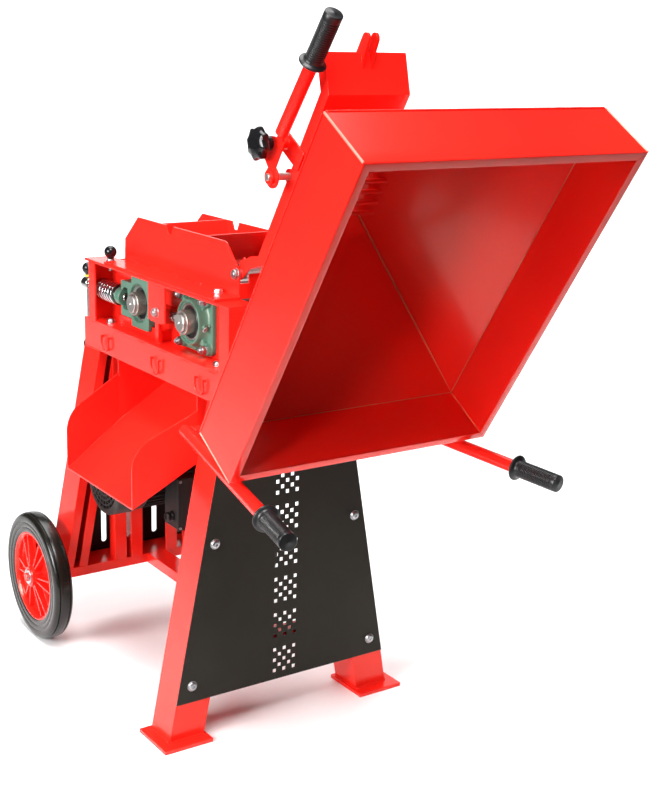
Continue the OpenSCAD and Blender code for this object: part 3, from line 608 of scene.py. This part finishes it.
for side, m in SIDES:
    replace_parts(piece("flange_casting_" + side, flange_casting_mesh(), GREEN, "stand", 48, m), "flange_bearings")
    insert_unit(FIX_X, "fixed_" + side, 114.0, "stand", m)
    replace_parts(piece("take_up_casting_" + side, take_up_mesh(), GREEN, "take_up_carriage", 40, m, bevel=1.2),
                "take_up_bearings")
    piece("take_up_hub_" + side, take_up_ring_mesh(), GREEN, "take_up_carriage", 40, m)
    insert_unit(TAKE_X, "sprung_" + side, 114.0, "take_up_carriage", m)
    # grease nipple on a tapped boss, turned towards the shaft end
    bm = bmesh.new()
    g = moved(FIX_X + 53.5, -105.5, SHAFT_Z - 4) @ turned(118, "X") @ turned(34, "Y")
    hex_head(bm, 8.5, -1, 4.5, g, 0.5)
    lathe(bm, [(3.1, 4.4), (3.1, 6.4), (2.0, 7.6), (2.0, 9.0), (3.3, 10.6), (3.3, 12.2), (1.7, 14.0), (0, 14.4)],
          g, 20)
    piece("grease_nipple_" + side, bm, ZINC, "stand", 40, m)


# bolts, nuts and washers
BOLT_HALF = 51  # half of the flange's bolt spacing


def bolts_mesh():
    bm = bmesh.new()
    for i in (-1, 1):
        for j in (-1, 1):
            at = along("-y", (FIX_X + i * BOLT_HALF, 0, SHAFT_Z + j * BOLT_HALF))
            turn = Matrix.Rotation(0.35 * i + 0.6 * j, 4, "Z")
            thread(bm, 5, 84, 122, at, 1.5)
            washer(bm, 5.3, 10, 106, 108, at)
            hex_head(bm, 17, 108.2, 116, at @ turn)
    for y, z in ((172, 425), (224, 125)):
        at = along("x", (0, -y, z))
        washer(bm, 5.5, 11, 83, 84.2, at)
        lathe(bm, [(10, 84.2), (9.8, 85.4), (8.4, 87.6), (6.4, 88.6), (3.6, 88.9), (3.4, 86.6), (0, 86.6)], at, 40)
    for x, y in ((-488, -121.5), (-12, -113.5)):
        at = along("z", (x, y, 0)) @ Matrix.Rotation(0.4, 4, "Z")
        washer(bm, 5.3, 10.5, 768, 769.6, at)
        hex_head(bm, 17, 769.7, 776.4, at)
        lathe(bm, [(5.2, 776), (5.2, 776.8), (4.6, 777.2), (0, 777.2)], at, 24)
    at = along("z", (-37, -99.5, 0)) @ Matrix.Rotation(0.2, 4, "Z")
    washer(bm, 5.3, 10.5, 912, 913.5, at)
    hex_head(bm, 17, 913.6, 920, at)
    hex_head(bm, 17, -901.8, -894, at @ turned(180, "X"))
    thread(bm, 5, 886, 895, at, 1.5)
    washer(bm, 4.4, 10, 907, 908.4, CLAMP)
    hex_head(bm, 17, 908.5, 911.2, CLAMP)
    hex_head(bm, 17, -901.8, -894.5, CLAMP @ turned(180, "X"))
    return bm


def stop_bracket_mesh():
    bm = bmesh.new()
    slab(bm, (-258, -144.5, 823), (-183, -140, 902))
    slab(bm, (-258, -140, 818), (-206, -100, 850))
    slab(bm, (-264, -125, 768), (-248, -115, 818))
    return bm


def stop_screw_mesh():
    bm = bmesh.new()
    along_bar = along("x", (0, -112, 834))
    thread(bm, 5.95, -301.6, -185, along_bar, 1.75)
    hex_head(bm, 18, -206, -196, along_bar)
    at = along("-y", (-219, 0, 843)) @ Matrix.Rotation(0.3, 4, "Z")
    washer(bm, 6, 11, 144.5, 146, at)
    hex_head(bm, 18, 146.1, 152.4, at)
    lathe(bm, [(5.8, 152), (5.8, 155), (4.8, 156), (0, 156)], at, 24)
    return bm


for side, m in SIDES:
    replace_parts(piece("fasteners_" + side, bolts_mesh(), ZINC, "stand", 35, m), "bolts")
    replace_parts(piece("stop_bracket_" + side, stop_bracket_mesh(), RED, "stand", 30, m, bevel=0.8), "stop_brackets")
    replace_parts(piece("stop_screw_" + side, stop_screw_mesh(), ZINC, "stand", 35, m), "stop_brackets")


# grips and knobs
def grip_mesh(at, length, bore):
    """A moulded bicycle-type grip: flange, ribbed barrel and closed end."""
    prof = [(bore, -0.5), (24.4, -0.5), (25.3, 0.5), (25.4, 2.6), (24.7, 3.8), (21.0, 4.8), (18.4, 6.6), (17.3, 9.6),
            (17.1, 13.0)]
    h = 14.0
    while h < length - 12:
        prof += [(17.1, h), (16.0, h + 0.9), (16.0, h + 1.7), (17.1, h + 2.6)]
        h += 4.4
    prof += [(17.0, h + 0.6), (17.0, length - 1.4), (16.1, length - 0.2), (15.2, length), (2.4, length),
             (1.8, length + 0.4), (0, length + 0.4)]
    return lathe(bmesh.new(), prof, at, 48)


HANDLE = moved(24, -208.5, 653) @ turned(-10.3) @ turned(94.5, "Y")
for side, m in SIDES:
    bm = grip_mesh(HANDLE @ moved(0, 0, 440), 101, 13.05)
    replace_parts(piece("hand_grip_" + side, bm, GRIP, "stand", 50, m), "handle_grips")
LEVER = TIPPED @ moved(-361, -125.5, 990) @ turned(90 - 175.4, "Y")
bm = grip_mesh(LEVER @ moved(0, 0, 156), 105, 12.55)
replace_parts(piece("lever_hand_grip", bm, GRIP, "gate", 50), "lever_grip")


def star_mesh(at):
    """An eight-lobed moulded knob with a dished face and a boss under it."""
    bm = bmesh.new()
    n = 96
    levels = [(145.2, 13, 0), (145.2, 21.0, 3.0), (146.2, 25.4, 4.0), (149, 27.4, 4.2), (156, 27.6, 4.2),
              (158.6, 27.0, 4.0), (160.6, 25.4, 3.4), (162.2, 23.0, 2.4), (163.8, 19.4, 1.2), (165.2, 15.0, 0.4),
              (166.2, 10.0, 0), (166.8, 5.0, 0), (167.0, 0, 0)]
    rings = []
    for h, base, depth in levels:
        ring = []
        for a in [2 * pi * i / n for i in range(n)] if base else [0]:
            r = base + depth * (1 - abs(cos(4 * a)) ** 1.1)
            ring.append((r * cos(a), r * sin(a), h))
        rings.append(loop(bm, at, ring))
    skin(bm, rings)
    lathe(bm, [(5.1, 127.2), (12, 127.2), (13, 128.2), (13, 144.4), (14.2, 145.4)], at, 40)
    return bm


LOCK = along("-y", (-325, 0, 971))
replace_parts(piece("star_grip", star_mesh(TIPPED @ LOCK), GLOSS, "lock_knob", 40), "star_knob")


LATCH_X = -602


def eye_bolt_mesh():
    bm = bmesh.new()
    lathe(bm, [(4.1, -6), (8.2, -6), (9, -5.2), (9, 5.2), (8.2, 6), (4.1, 6)], along("y", (LATCH_X, 0, 850)), 40, True)
    prof = [(0, 697), (5, 697)]
    crests(prof, 5, 698, 760, 1.5, 0.6)
    prof += [(5, 762), (5, 843), (0, 843)]
    lathe(bm, prof, along("z", (LATCH_X, 0, 0)), 24)
    return bm


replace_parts(piece("eye_bolt", eye_bolt_mesh(), ZINC, "latch", 40), "swing_bolt")
bm = lathe(bmesh.new(), [(5.1, 697), (10.5, 697), (12.2, 696), (13, 694), (13, 677), (12, 674.6), (9, 673.2),
                         (0, 673)], along("z", (LATCH_X, 0, 0)), 40)
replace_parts(piece("eye_bolt_knob", bm, GLOSS, "latch", 40), "swing_bolt")


# shafts and rollers
def shaft_mesh(x, driven):
    """A ground shaft with turned ends, and the two locking collars that turn with it."""
    bm = bmesh.new()
    at = along("-y", (x, 0, SHAFT_Z))
    prof = [(0, 137.4), (1.2, 137.6), (3.4, 139.9), (4.0, 140), (18.2, 140), (20, 138.2), (20, 89), (20.0, -89)]
    if driven:
        prof += [(20, -138.4), (18.6, -140), (15, -140), (15, -180.4), (13.6, -182), (4, -182), (3.4, -181.8),
                 (0, -179.5)]
    else:
        prof += [(20, -138.2), (18.2, -140), (4, -140), (3.4, -139.8), (0, -137.5)]
    lathe(bm, prof, at, 64)
    for s in (1, -1):
        h = [89.4, 132.8, 134.0]
        ring = [(20.05, h[0]), (25.2, h[0]), (26, h[0] + 0.8), (26, h[1]), (25, h[2]), (21.2, h[2]), (20.05, h[1])]
        lathe(bm, [(r, s * d) for r, d in ring], at, 72, True)
        for m in (along("x", (x, -126 * s, SHAFT_Z)), along("z", (x, -126 * s, SHAFT_Z))):
            lathe(bm, [(3.4, 24), (3.4, 26.0), (3.0, 26.3), (2.1, 26.3), (1.8, 26.1), (1.8, 24.4), (0, 24.4)], m, 24)
    return bm


BELT_Y = 156


def pulley_mesh(r, x, z, bore):
    """A V-belt pulley: hub, thin web and a rim with one groove."""
    prof = [(bore, -4), (bore + 8, -4), (bore + 9, -3), (bore + 9, 4), (r - 14, 4), (r - 13.6, 0.8), (r - 13, 0),
            (r - 1, 0), (r, 0.8), (r, 1.6), (r - 6, 5), (r - 6, 15), (r, 18.4), (r, 19.2), (r - 1, 20), (r - 13, 20),
            (r - 14, 19), (r - 14, 12), (bore + 9, 12), (bore + 9, 21), (bore + 8, 22), (bore, 22)]
    return lathe(bmesh.new(), [(a, BELT_Y + d) for a, d in prof], along("y", (x, 0, z)), 96, True)


CAST = metal("cast_iron", (0.30, 0.30, 0.30), (0.16, 0.16, 0.165), rough=0.5, scale=160)
MOTOR_X, MOTOR_Z = -402.0, 425.0
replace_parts(piece("fixed_roller_shaft", shaft_mesh(FIX_X, True), STEEL, "fixed_roller_set", 35), "fixed_shaft")
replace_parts(piece("fixed_roller_pulley", pulley_mesh(90, FIX_X, SHAFT_Z, 14.6), CAST, "fixed_roller_set", 35),
            "fixed_shaft")
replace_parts(piece("sprung_roller_shaft", shaft_mesh(TAKE_X, False), STEEL, "sprung_roller_set", 35), "sprung_shaft")


def fluted_mesh(x):
    """A roller with milled V flutes, its ends turned flat and relieved round the shaft."""
    bm = bmesh.new()
    at = along("-y", (x, 0, SHAFT_Z))
    flutes, r, depth, half = 60, 110.0, 2.0, 76.5
    outline = []
    for i in range(flutes):
        for k, d in ((0.0, 0.0), (0.34, 0.0), (0.62, 1.0), (0.72, 1.0)):
            a = 2 * pi * (i + k) / flutes
            outline.append((cos(a), sin(a), r - depth * d))

    def ring(h, cut=0.0, plain=None):
        return loop(bm, at, [(c * (plain or e - cut), s * (plain or e - cut), h) for c, s, e in outline])

    rings = [ring(-half, 2.0), ring(2.0 - half), ring(half - 2.0), ring(half, 2.0)]
    skin(bm, rings)
    for outer, h in ((rings[0], -half), (rings[-1], half)):
        end = [outer, ring(h, plain=46), ring(h * 0.97, plain=44), ring(h * 0.97, plain=20.1)]
        skin(bm, end[::-1] if h < 0 else end)
    return bm


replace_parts(piece("fixed_roller_drum", fluted_mesh(FIX_X), ROLLER, "fixed_roller_set", 25), "fixed_roller")
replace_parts(piece("sprung_roller_drum", fluted_mesh(TAKE_X), ROLLER, "sprung_roller_set", 25), "sprung_roller")

# wheels
AXLE_X, AXLE_Z, WHEEL_Y = -566.0, 153.0, 280.85


def tyre_mesh(at):
    """A solid rubber tyre: rounded tread with shallow grooves, a stepped side and a bead."""
    half = [(107.0, 19.0), (109.5, 20.6), (118.0, 21.1), (118.6, 20.6), (119.2, 21.3), (130, 22.2), (130.6, 21.7),
            (131.2, 22.3), (139, 22.3), (144.5, 21.3), (148.2, 19.0), (150.4, 16.0), (151.2, 13.9), (149.0, 13.0),
            (149.0, 11.9), (151.9, 10.8), (152.7, 7.4), (153, 4.0), (153, 0.4)]
    return lathe(bmesh.new(), [(r, -h) for r, h in half] + [(r, h) for r, h in half[::-1]], at, 128, True)


def rim_mesh(at):
    """A moulded rim: a deep ring, a thin disc with round windows and paired ribs, and a hub."""
    bm = bmesh.new()
    lathe(bm, [(97, -18.4), (98, -19), (106.2, -19), (107, -18.2), (107, 18.2), (106.2, 19), (103.4, 19),
               (102.6, 18.2), (98.4, 14), (97, 11), (96.4, 4), (94, 2.6), (94, -2.6), (96.4, -4)], at, 128, True)
    hub, middle, ring, half, cells = 22.0, 72, 95.0, 2.4, 24

    def band(rows, place, flip, walls=False):
        """Quads from row to row between two places, each a radius and a height."""
        prev = None
        for a, w in rows:
            pair = [bm.verts.new(at @ Vector((r * cos(a), r * sin(a), h))) for r, h in place(w)]
            if prev and (w > 0 or not walls):
                quad = (prev[0], prev[1], pair[1], pair[0])
                bm.faces.new(quad[::-1] if flip else quad)
            prev = pair

    # the disc between ring and hub, pierced between the ribs; w is half the window's height at that angle
    for a0 in range(0, 360, 60):
        rows = []
        for i in range(cells + 1):
            gap = abs(i / cells - 0.5) * 60
            rows.append((radians(a0 + 60 * i / cells), max(0.0, 1 - (gap / 8.8) ** 2) ** 0.5 * 11))
        for h in (half, -half):
            band(rows, lambda w: ((hub, h), (middle - w, h)), h < 0)
            band(rows, lambda w: ((middle + w, h), (ring, h)), h < 0)
        for edge in (-1, 1):
            band(rows, lambda w: ((middle + edge * w, -half), (middle + edge * w, half)), edge > 0, walls=True)
    lathe(bm, [(10.2, -27.2), (22.8, -27.2), (24, -26), (24.0, 26), (22.8, 27.2), (15, 27.2), (14, 26.2), (13.4, 24),
               (10.2, 24)], at, 64, True)
    for a in range(0, 360, 60):
        for d in (-9, 9):
            m = at @ turned(a + d) @ turned(90, "X")
            prism(bm, [(23, -15.6), (98, -15.6), (98, 13.6), (23, 20.5)], -1.9, 1.9, m, 0.7)
    for a in range(0, 360, 30):
        m = at @ turned(a) @ turned(90, "X")
        prism(bm, [(23.4, -3), (33, -3), (23.4, 16)], -1.2, 1.2, m)
    return bm


for side, m in SIDES:
    body = "wheel_a" if side == "near" else "wheel_b"
    at = along("-y", (AXLE_X, -WHEEL_Y, AXLE_Z))
    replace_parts(piece("tyre_rubber_" + side, tyre_mesh(at), TYRE, body, 50, m), "tyre_" + side)
    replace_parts(piece("rim_moulding_" + side, rim_mesh(at), RED, body, 35, m), "wheel_rim_" + side)

axle = along("-y", (AXLE_X, 0, AXLE_Z))
bm = lathe(bmesh.new(), [(0, 315.6), (3, 316), (8.6, 316), (10, 314.6), (10, -314.6), (8.6, -316), (3, -316),
                         (0, -315.6)], axle, 48)
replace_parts(piece("wheel_axle_bar", bm, RED, "stand", 40), "wheel_axle")
bm = bmesh.new()
for s in (1, -1):
    lathe(bm, [(10.05, s * 243.4), (15.2, s * 243.4), (16, s * 244.2), (16, s * 252.4), (15.2, s * 253.1),
               (10.05, s * 253.1)], axle, 40, True)
    lathe(bm, [(10.05, s * 308.6), (18, s * 308.6), (18, s * 310.2), (17.4, s * 311.2), (10.05, s * 311.2)], axle, 48,
          True)
    pin = axle @ moved(0, 0, s * 313.4)
    sweep(bm, [pin @ Vector(p) for p in ((-13, 0, 0), (0, 0, 0), (12, 0, 0), (15, 2.2, 0), (14, 4, 0))], 1.5, 10)
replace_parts(piece("wheel_washers_and_pins", bm, ZINC, "stand", 40), "wheel_axle")

# motor
def motor_mesh():
    bm = bmesh.new()
    at = along("y", (MOTOR_X, 0, MOTOR_Z))
    lathe(bm, [(71, -129), (79.4, -129), (81, -127.4), (81, -112), (79, -108.5), (70.5, -107)], at, 96)
    lathe(bm, [(70.5, -108), (70.5, 76)], at, 96)
    lathe(bm, [(70.5, 75), (79.6, 77), (81, 79), (81, 91), (78, 94.2), (60, 95), (42, 95), (38, 94), (36, 91),
               (11, 91)], at, 96)
    for i in range(40):
        m = at @ turned(9 * i) @ turned(90, "X")
        prism(bm, [(69, -108), (80.6, -108), (81.2, -104), (81.2, 72), (80.6, 76), (69, 76)], -1.1, 1.1, m, 0.5)
    for i in range(4):
        a = radians(45 + 90 * i)
        m = at @ moved(74 * cos(a), 74 * sin(a), 0)
        lathe(bm, [(6, 76), (7, 78), (7, 92), (6, 94), (0, 94)], m, 20)
    return bm


def motor_feet_mesh():
    bm = bmesh.new()
    for y in (-110, 30):
        for h in (-62, 62):
            slab(bm, (-495, y, MOTOR_Z + h - 9.5), (MOTOR_X - 55, y + 40, MOTOR_Z + h + 9.5))
        slab(bm, (-495, y, MOTOR_Z - 72), (-487, y + 40, MOTOR_Z + 72))
    return bm


def terminal_box_mesh():
    bm = bmesh.new()
    slab(bm, (-330, -68, 322), (-266, -22, 443))
    slab(bm, (-266.5, -70, 320), (-262, -20, 445))
    slab(bm, (-268, -70, 320), (-264.5, -20, 445))
    return bm


def cowl_mesh():
    """The fan cowl: a pressed shell with rolled corner and a grille of rings and radial bars."""
    bm = bmesh.new()
    at = along("-y", (MOTOR_X, -130, MOTOR_Z))
    lathe(bm, [(82.6, 0.2), (84, 0.4), (84, 50), (83.2, 54), (80.6, 57.6), (76.4, 59.2), (70, 59.4), (70, 57.4),
               (76, 57.2), (79.2, 55.6), (81.4, 52.8), (82.2, 49), (82.2, 1)], at, 96, True)
    for r in (16, 27, 38, 49, 60, 70):
        lathe(bm, [(r - 1.5, 57.2), (r - 1.5, 58.8), (r - 1.0, 59.3), (r + 1.0, 59.3), (r + 1.5, 58.8),
                   (r + 1.5, 57.2)], at, 72, True)
    lathe(bm, [(0, 57.0), (14, 57.0), (15.6, 57.6), (15.6, 59.0), (14.8, 59.4), (0, 59.4)], at, 40)
    for i in range(24):
        m = at @ turned(15 * i)
        prism(bm, [(15, -1.3), (71, -1.3), (71, 1.3), (15, 1.3)], 57.0, 59.2, m, 0.4)
    for i in range(4):
        a = radians(45 + 90 * i)
        m = moved(MOTOR_X, 0, MOTOR_Z) @ Matrix.Rotation(-a, 4, "Y") @ along("x", (0, -138, 0))
        lathe(bm, [(4.2, 83.4), (4.2, 84.4), (3.2, 85.4), (0, 85.8)], m, 20)
    return bm


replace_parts(piece("motor_shell", motor_mesh(), MOTOR, "stand", 35), "motor_body")
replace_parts(piece("motor_feet", motor_feet_mesh(), MOTOR, "stand", 30, bevel=2.0), "motor_body")
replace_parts(piece("terminal_box", terminal_box_mesh(), MOTOR, "stand", 30, bevel=1.6), "motor_body")
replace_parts(piece("fan_cowl_shell", cowl_mesh(), MOTOR, "stand", 40), "fan_cowl")
bm = bmesh.new()
at = along("-y", (MOTOR_X + 112, 0, 350))
hex_head(bm, 22, 69.6, 75.5, at)
lathe(bm, [(8.6, 75), (8.6, 77), (10.4, 77.4), (10.8, 79), (10.8, 84), (9.4, 86), (7.2, 86.8), (5.0, 86.8), (4.8, 84),
           (0, 84)], at, 36)
piece("cable_gland", bm, GRIP, "stand", 40)
bm = bmesh.new()
for y in (-64, -26):
    for z in (327, 438):
        m = along("x", (0, y, z))
        lathe(bm, [(3.6, -262.2), (3.6, -261.4), (2.6, -260.6), (1.2, -260.4), (1.0, -261.4), (0, -261.4)], m, 20)
piece("terminal_box_screws", bm, ZINC, "stand", 40)
at = along("y", (MOTOR_X, 0, MOTOR_Z))
bm = lathe(bmesh.new(), [(0, -179), (8, -179), (10.8, -177), (10.8, 180.5), (9.6, 182), (0, 182)], at, 40)
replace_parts(piece("motor_shaft", bm, STEEL, "rotor", 40), "motor_rotor")
bm = bmesh.new()
lathe(bm, [(10.8, -178), (18, -178), (20, -176), (20, -152), (10.8, -152)], at, 40, True)
for i in range(8):
    m = at @ turned(45 * i) @ turned(90, "X")
    prism(bm, [(18, -178), (58, -179.4), (59.6, -178), (59.6, -152), (18, -154)], -1.2, 1.2, m, 0.4)
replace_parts(piece("cooling_fan", bm, GRIP, "rotor", 40), "motor_rotor")
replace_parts(piece("motor_pulley", pulley_mesh(36, MOTOR_X, MOTOR_Z, 10.9), CAST, "rotor", 35), "motor_rotor")

# hopper, lid and gate details
MX0, MX1, MY, MZ, RIM_Z = -617.0, 88.0, 295.5, 1405.0, 1279.0
TX0, TX1, THY, TZ = -335.0, -195.0, 87.0, 1031.0
ENDS = ((MX0, 1), (MX1, -1))


def fillet(bm, a, b, r=2.0, k=10):
    """A slim bead of seam filler along a straight edge."""
    a, b = Vector(a), Vector(b)
    n = max(2, int((b - a).length / 40))
    sweep(bm, [a.lerp(b, i / n) for i in range(n + 1)], r, k)


def hopper_seams_mesh():
    bm = bmesh.new()
    t = 3.0
    for sy in (-1, 1):
        for x_lo, x_hi, sx in ((TX0, MX0, 1), (TX1, MX1, -1)):
            low = (x_lo + sx * 3.6, sy * (THY - 3.6), TZ + 4)
            high = (x_hi + sx * 3.6, sy * (MY - 3.6), RIM_Z - 1)
            fillet(bm, low, high, 1.9)
            fillet(bm, high, (x_hi + sx * 3.4, sy * (MY - 3.4), MZ - 3.6), 1.3)
        fillet(bm, (MX0 + t + 0.4, sy * (MY - t - 0.4), RIM_Z), (MX1 - t - 0.4, sy * (MY - t - 0.4), RIM_Z), 1.1)
    for x, sx in ENDS:
        fillet(bm, (x + sx * (t + 0.4), -MY + t, RIM_Z), (x + sx * (t + 0.4), MY - t, RIM_Z), 1.1)
    return bm


def rim_band(section, flip):
    """A folded section carried round the four sides of the mouth, with a mitre at each corner."""
    bm = bmesh.new()
    corners = ((MX0, -MY, 1, 1), (MX1, -MY, -1, 1), (MX1, MY, -1, -1), (MX0, MY, 1, -1))
    rings = [[bm.verts.new((x + sx * o, y + sy * o, MZ + z)) for o, z in section] for x, y, sx, sy in corners]
    for a, b in zip(rings, rings[1:] + rings[:1]):
        for k in range(len(section) - 1):
            quad = (a[k], b[k], b[k + 1], a[k + 1])
            bm.faces.new(quad[::-1] if flip else quad)
    return bm


# the lip has a rolled outer bend and a rolled free edge
LIP = [(0.0, -30.0), (0.0, -2.6), (0.25, -1.3), (0.9, -0.5), (2.2, -0.05), (15.4, -0.05), (16.4, -0.4),
       (17.0, -1.5), (16.4, -2.6), (15.4, -2.95), (4.4, -2.95), (3.3, -3.4), (3.0, -4.4), (3.0, -30.0)]
WALL = [(0.0, -30.0), (0.0, -126.0), (3.0, -126.0), (3.0, -30.0)]
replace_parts(piece("hopper_mouth_lip", rim_band(LIP, False), RED, "hopper", 50, TIPPED), "hopper_rim")
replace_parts(piece("hopper_mouth_walls", rim_band(WALL, True), RED, "hopper", 30, TIPPED), "hopper_rim")
# the seam fillets carry a painted highlight, a lighter orange red than the paint
piece("hopper_seams", hopper_seams_mesh(), SEAM_HIGHLIGHT, "hopper", 60, TIPPED)
bm = bmesh.new()
for sy in (-1, 1):
    for x, sx in ENDS:
        fillet(bm, (x + sx * 2.2, sy * (MY - 2.2), MZ - 0.15), (x + sx * 16.4, sy * (MY - 16.4), MZ - 0.15), 0.55, 8)
    # bead where the funnel is welded to the upright rim
    weld(bm, (MX0 + 4, sy * (MY + 0.6), RIM_Z), (MX1 - 4, sy * (MY + 0.6), RIM_Z), 4.2, 2.6, (0, sy, 0), 3)
for x, sx in ENDS:
    weld(bm, (x - sx * 0.6, -MY + 4, RIM_Z), (x - sx * 0.6, MY - 4, RIM_Z), 4.2, 2.6, (-sx, 0, 0), 4)
for sy in (-1, 1):
    weld(bm, (TX0 + 1, sy * (THY + 0.6), TZ + 1.6), (TX1 - 1, sy * (THY + 0.6), TZ + 1.6), 5, 2.4,
         (0, sy * 0.7, 0.7), 5)
for x, sx in ((TX0, 1), (TX1, -1)):
    weld(bm, (x - sx * 0.6, -THY + 1, TZ + 1.6), (x - sx * 0.6, THY - 1, TZ + 1.6), 5, 2.4, (-sx * 0.7, 0, 0.7), 6)
piece("hopper_weld_beads", bm, RED, "hopper", 60, TIPPED)
# rim corner fillets in a pale salmon colour, a painted highlight on the rounded corners
bm = bmesh.new()
for sy in (-1, 1):
    for x, sx in ENDS:
        fillet(bm, (x + sx * 1.0, sy * (MY - 1.0), RIM_Z + 1), (x + sx * 1.0, sy * (MY - 1.0), MZ - 2), 2.2, 12)
piece("rim_corner_welds", bm, CORNER_HIGHLIGHT, "hopper", 60, TIPPED)

# lugs, lock bracket and lever: beads, boss and washer
bm = bmesh.new()
for y in (-12, 12):
    s = -1 if y < 0 else 1
    weld(bm, (-498, y, 987.0), (-520, y, 979.5), 4, 2.2, (0, s, 0.4), 7)
weld(bm, (-344, -94, 1029.4), (-306, -94, 1029.4), 4.5, 2.3, (0, -0.6, 0.8), 8)
lathe(bm, [(10, 96.4), (11.4, 94.6), (12.6, 93.7)], LOCK, 32)
piece("lid_weld_beads", bm, RED, "hopper", 60, TIPPED)
bm = slab(bmesh.new(), (-345, -93.5, 957), (-305, -89.5, 1029))
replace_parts(piece("lock_plate", bm, RED, "hopper", 30, TIPPED, bevel=1.2), "lock_bracket")
bm = lathe(bmesh.new(), [(5.1, 93), (10, 93), (10, 120.2), (9.2, 121), (5.1, 121)], LOCK, 40, True)
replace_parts(piece("lock_sleeve", bm, RED, "hopper", 40, TIPPED), "lock_bracket")
bm = thread(bmesh.new(), 5, 100, 158, LOCK, 1.5)
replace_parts(piece("lock_stud", bm, ZINC, "hopper", 40, TIPPED), "lock_bracket")

GX, GZ = -277.0, 1008.0
bm = bmesh.new()
weld(bm, (GX - 62, -124.0, GZ - 7.4), (GX - 106, -124.0, GZ - 11.2), 4.2, 2.2, (0, 0.6, 0.8), 9)
piece("lever_weld_bead", bm, RED, "gate", 60, TIPPED)
bm = bmesh.new()
lathe(bm, [(0, 138.0), (5.6, 138.0), (7, 136.8), (7, 134.2), (7, 120), (7, -92.6), (5.6, -94), (0, -94)],
      along("-y", (GX, 0, GZ)), 40)
slab(bm, (GX + 4, -76, GZ - 3), (GX + 72, 76, GZ + 3))
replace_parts(piece("gate_shaft_and_flap", bm, STEEL, "gate", 30, TIPPED, bevel=0.4), "gate_flap")

# pivots of the hopper: bolt, washers and lock nut on each side
for side, m in SIDES:
    bm = bmesh.new()
    at = along("-y", PIVOT)
    lathe(bm, [(0, 61), (5, 61), (6, 62), (6, 92.5), (5.0, 93.4), (0, 93.4)], at, 32)
    washer(bm, 6.1, 12, 83.5, 85.2, at)
    hex_head(bm, 19, 85.3, 91.5, at @ Matrix.Rotation(0.35, 4, "Z"))
    washer(bm, 6.1, 11, 76.6, 80.5, at)
    hex_head(bm, 19, -72.4, -63.4, at @ turned(180, "X"))
    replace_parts(piece("hopper_pivot_bolt_" + side, bm, ZINC, "stand", 40, m), "hopper_pivots")

# weld beads of the stand
BEAM_Z, LEG_RUN = 701.0, 130.0


def leg_y(z):
    return -144.5 - (BEAM_Z - z) * LEG_RUN / (BEAM_Z - 8)


OUT, OUT_UP = (0, -1, 0), (0, -0.7, 0.7)
PLATE_TOP, BEAM_UNDER, RAIL_TOP, BRACE_TOP = 8.4, 700.6, 179.2, 180.2
bm = bmesh.new()
y0, y1 = leg_y(8), leg_y(8) + 80
for seed, bead in enumerate((
        # foot plate round the leg
        ((1, y0 - 0.5, PLATE_TOP), (79, y0 - 0.5, PLATE_TOP), 7, 2.8, OUT_UP),
        ((1, y1 + 0.5, PLATE_TOP), (79, y1 + 0.5, PLATE_TOP), 7, 2.8, (0, 0.7, 0.7)),
        ((80.5, y0 + 1, PLATE_TOP), (80.5, y1 - 1, PLATE_TOP), 7, 2.8, (0.7, 0, 0.7)),
        ((-0.5, y0 + 1, PLATE_TOP), (-0.5, y1 - 1, PLATE_TOP), 7, 2.8, (-0.7, 0, 0.7)),
        # legs under the beam
        ((2, -144.6, BEAM_UNDER), (78, -144.6, BEAM_UNDER), 3.4, 2.4, OUT),
        ((-579, -144.6, BEAM_UNDER), (-503, -144.6, BEAM_UNDER), 3.4, 2.4, OUT),
        ((80.3, -143, BEAM_UNDER), (80.3, -66, BEAM_UNDER), 3.4, 2.4, (1, 0, 0)),
        # rails between the legs
        ((-500.6, leg_y(RAIL_TOP) + 2, RAIL_TOP), (-500.6, -190, RAIL_TOP), 4.6, 2.4, (0.7, 0, 0.7)),
        ((22, leg_y(BRACE_TOP) + 80.4, BRACE_TOP), (58, leg_y(BRACE_TOP) + 80.4, BRACE_TOP), 4.6, 2.4, (0, 0.7, 0.7)),
        # handle bracket
        ((27, -150.6, 661.4), (53, -150.6, 661.4), 4.6, 2.4, OUT_UP)), 11):
    weld(bm, *bead, seed)
# handle tube
for a in range(4):
    x = 28 + a * 7
    weld(bm, (x, -196.8 - a * 0.8, 660.9), (x + 6, -197.8 - a * 0.8, 660.9), 5.2, 2.0, (0, 0.4, 0.9), 21 + a)
# stop bars and the inlet's feet on the head
weld(bm, (-264.5, -125.3, 768.4), (-247.5, -125.3, 768.4), 4.8, 2.2, OUT_UP, 30)
weld(bm, (-247.7, -124.6, 768.4), (-247.7, -115.4, 768.4), 4.8, 2.2, (0.7, 0, 0.7), 31)
for x in (-440, -350, -250, -150, -60):
    weld(bm, (x - 14, -84.0, 912.6), (x + 14, -84.0, 912.6), 4.2, 2.2, OUT_UP, 40 + abs(x))
for x in (-520, -400, -290, -190, -90, 20):
    weld(bm, (x - 16, -144.9, 763.4), (x + 16, -144.9, 763.4), 2.6, 2.2, (0, -1, 0.2), 60 + abs(x))
# chute under the beam
weld(bm, (-400, -145.2, 669), (-385, -150.8, 668.4), 3.6, 2.2, OUT_UP, 80)
far_welds = bm.copy()
piece("stand_weld_beads_near", bm, RED, "stand", 60)
piece("stand_weld_beads_far", far_welds, RED, "stand", 60, FAR)

SCENE.view_settings.view_transform = "Standard"
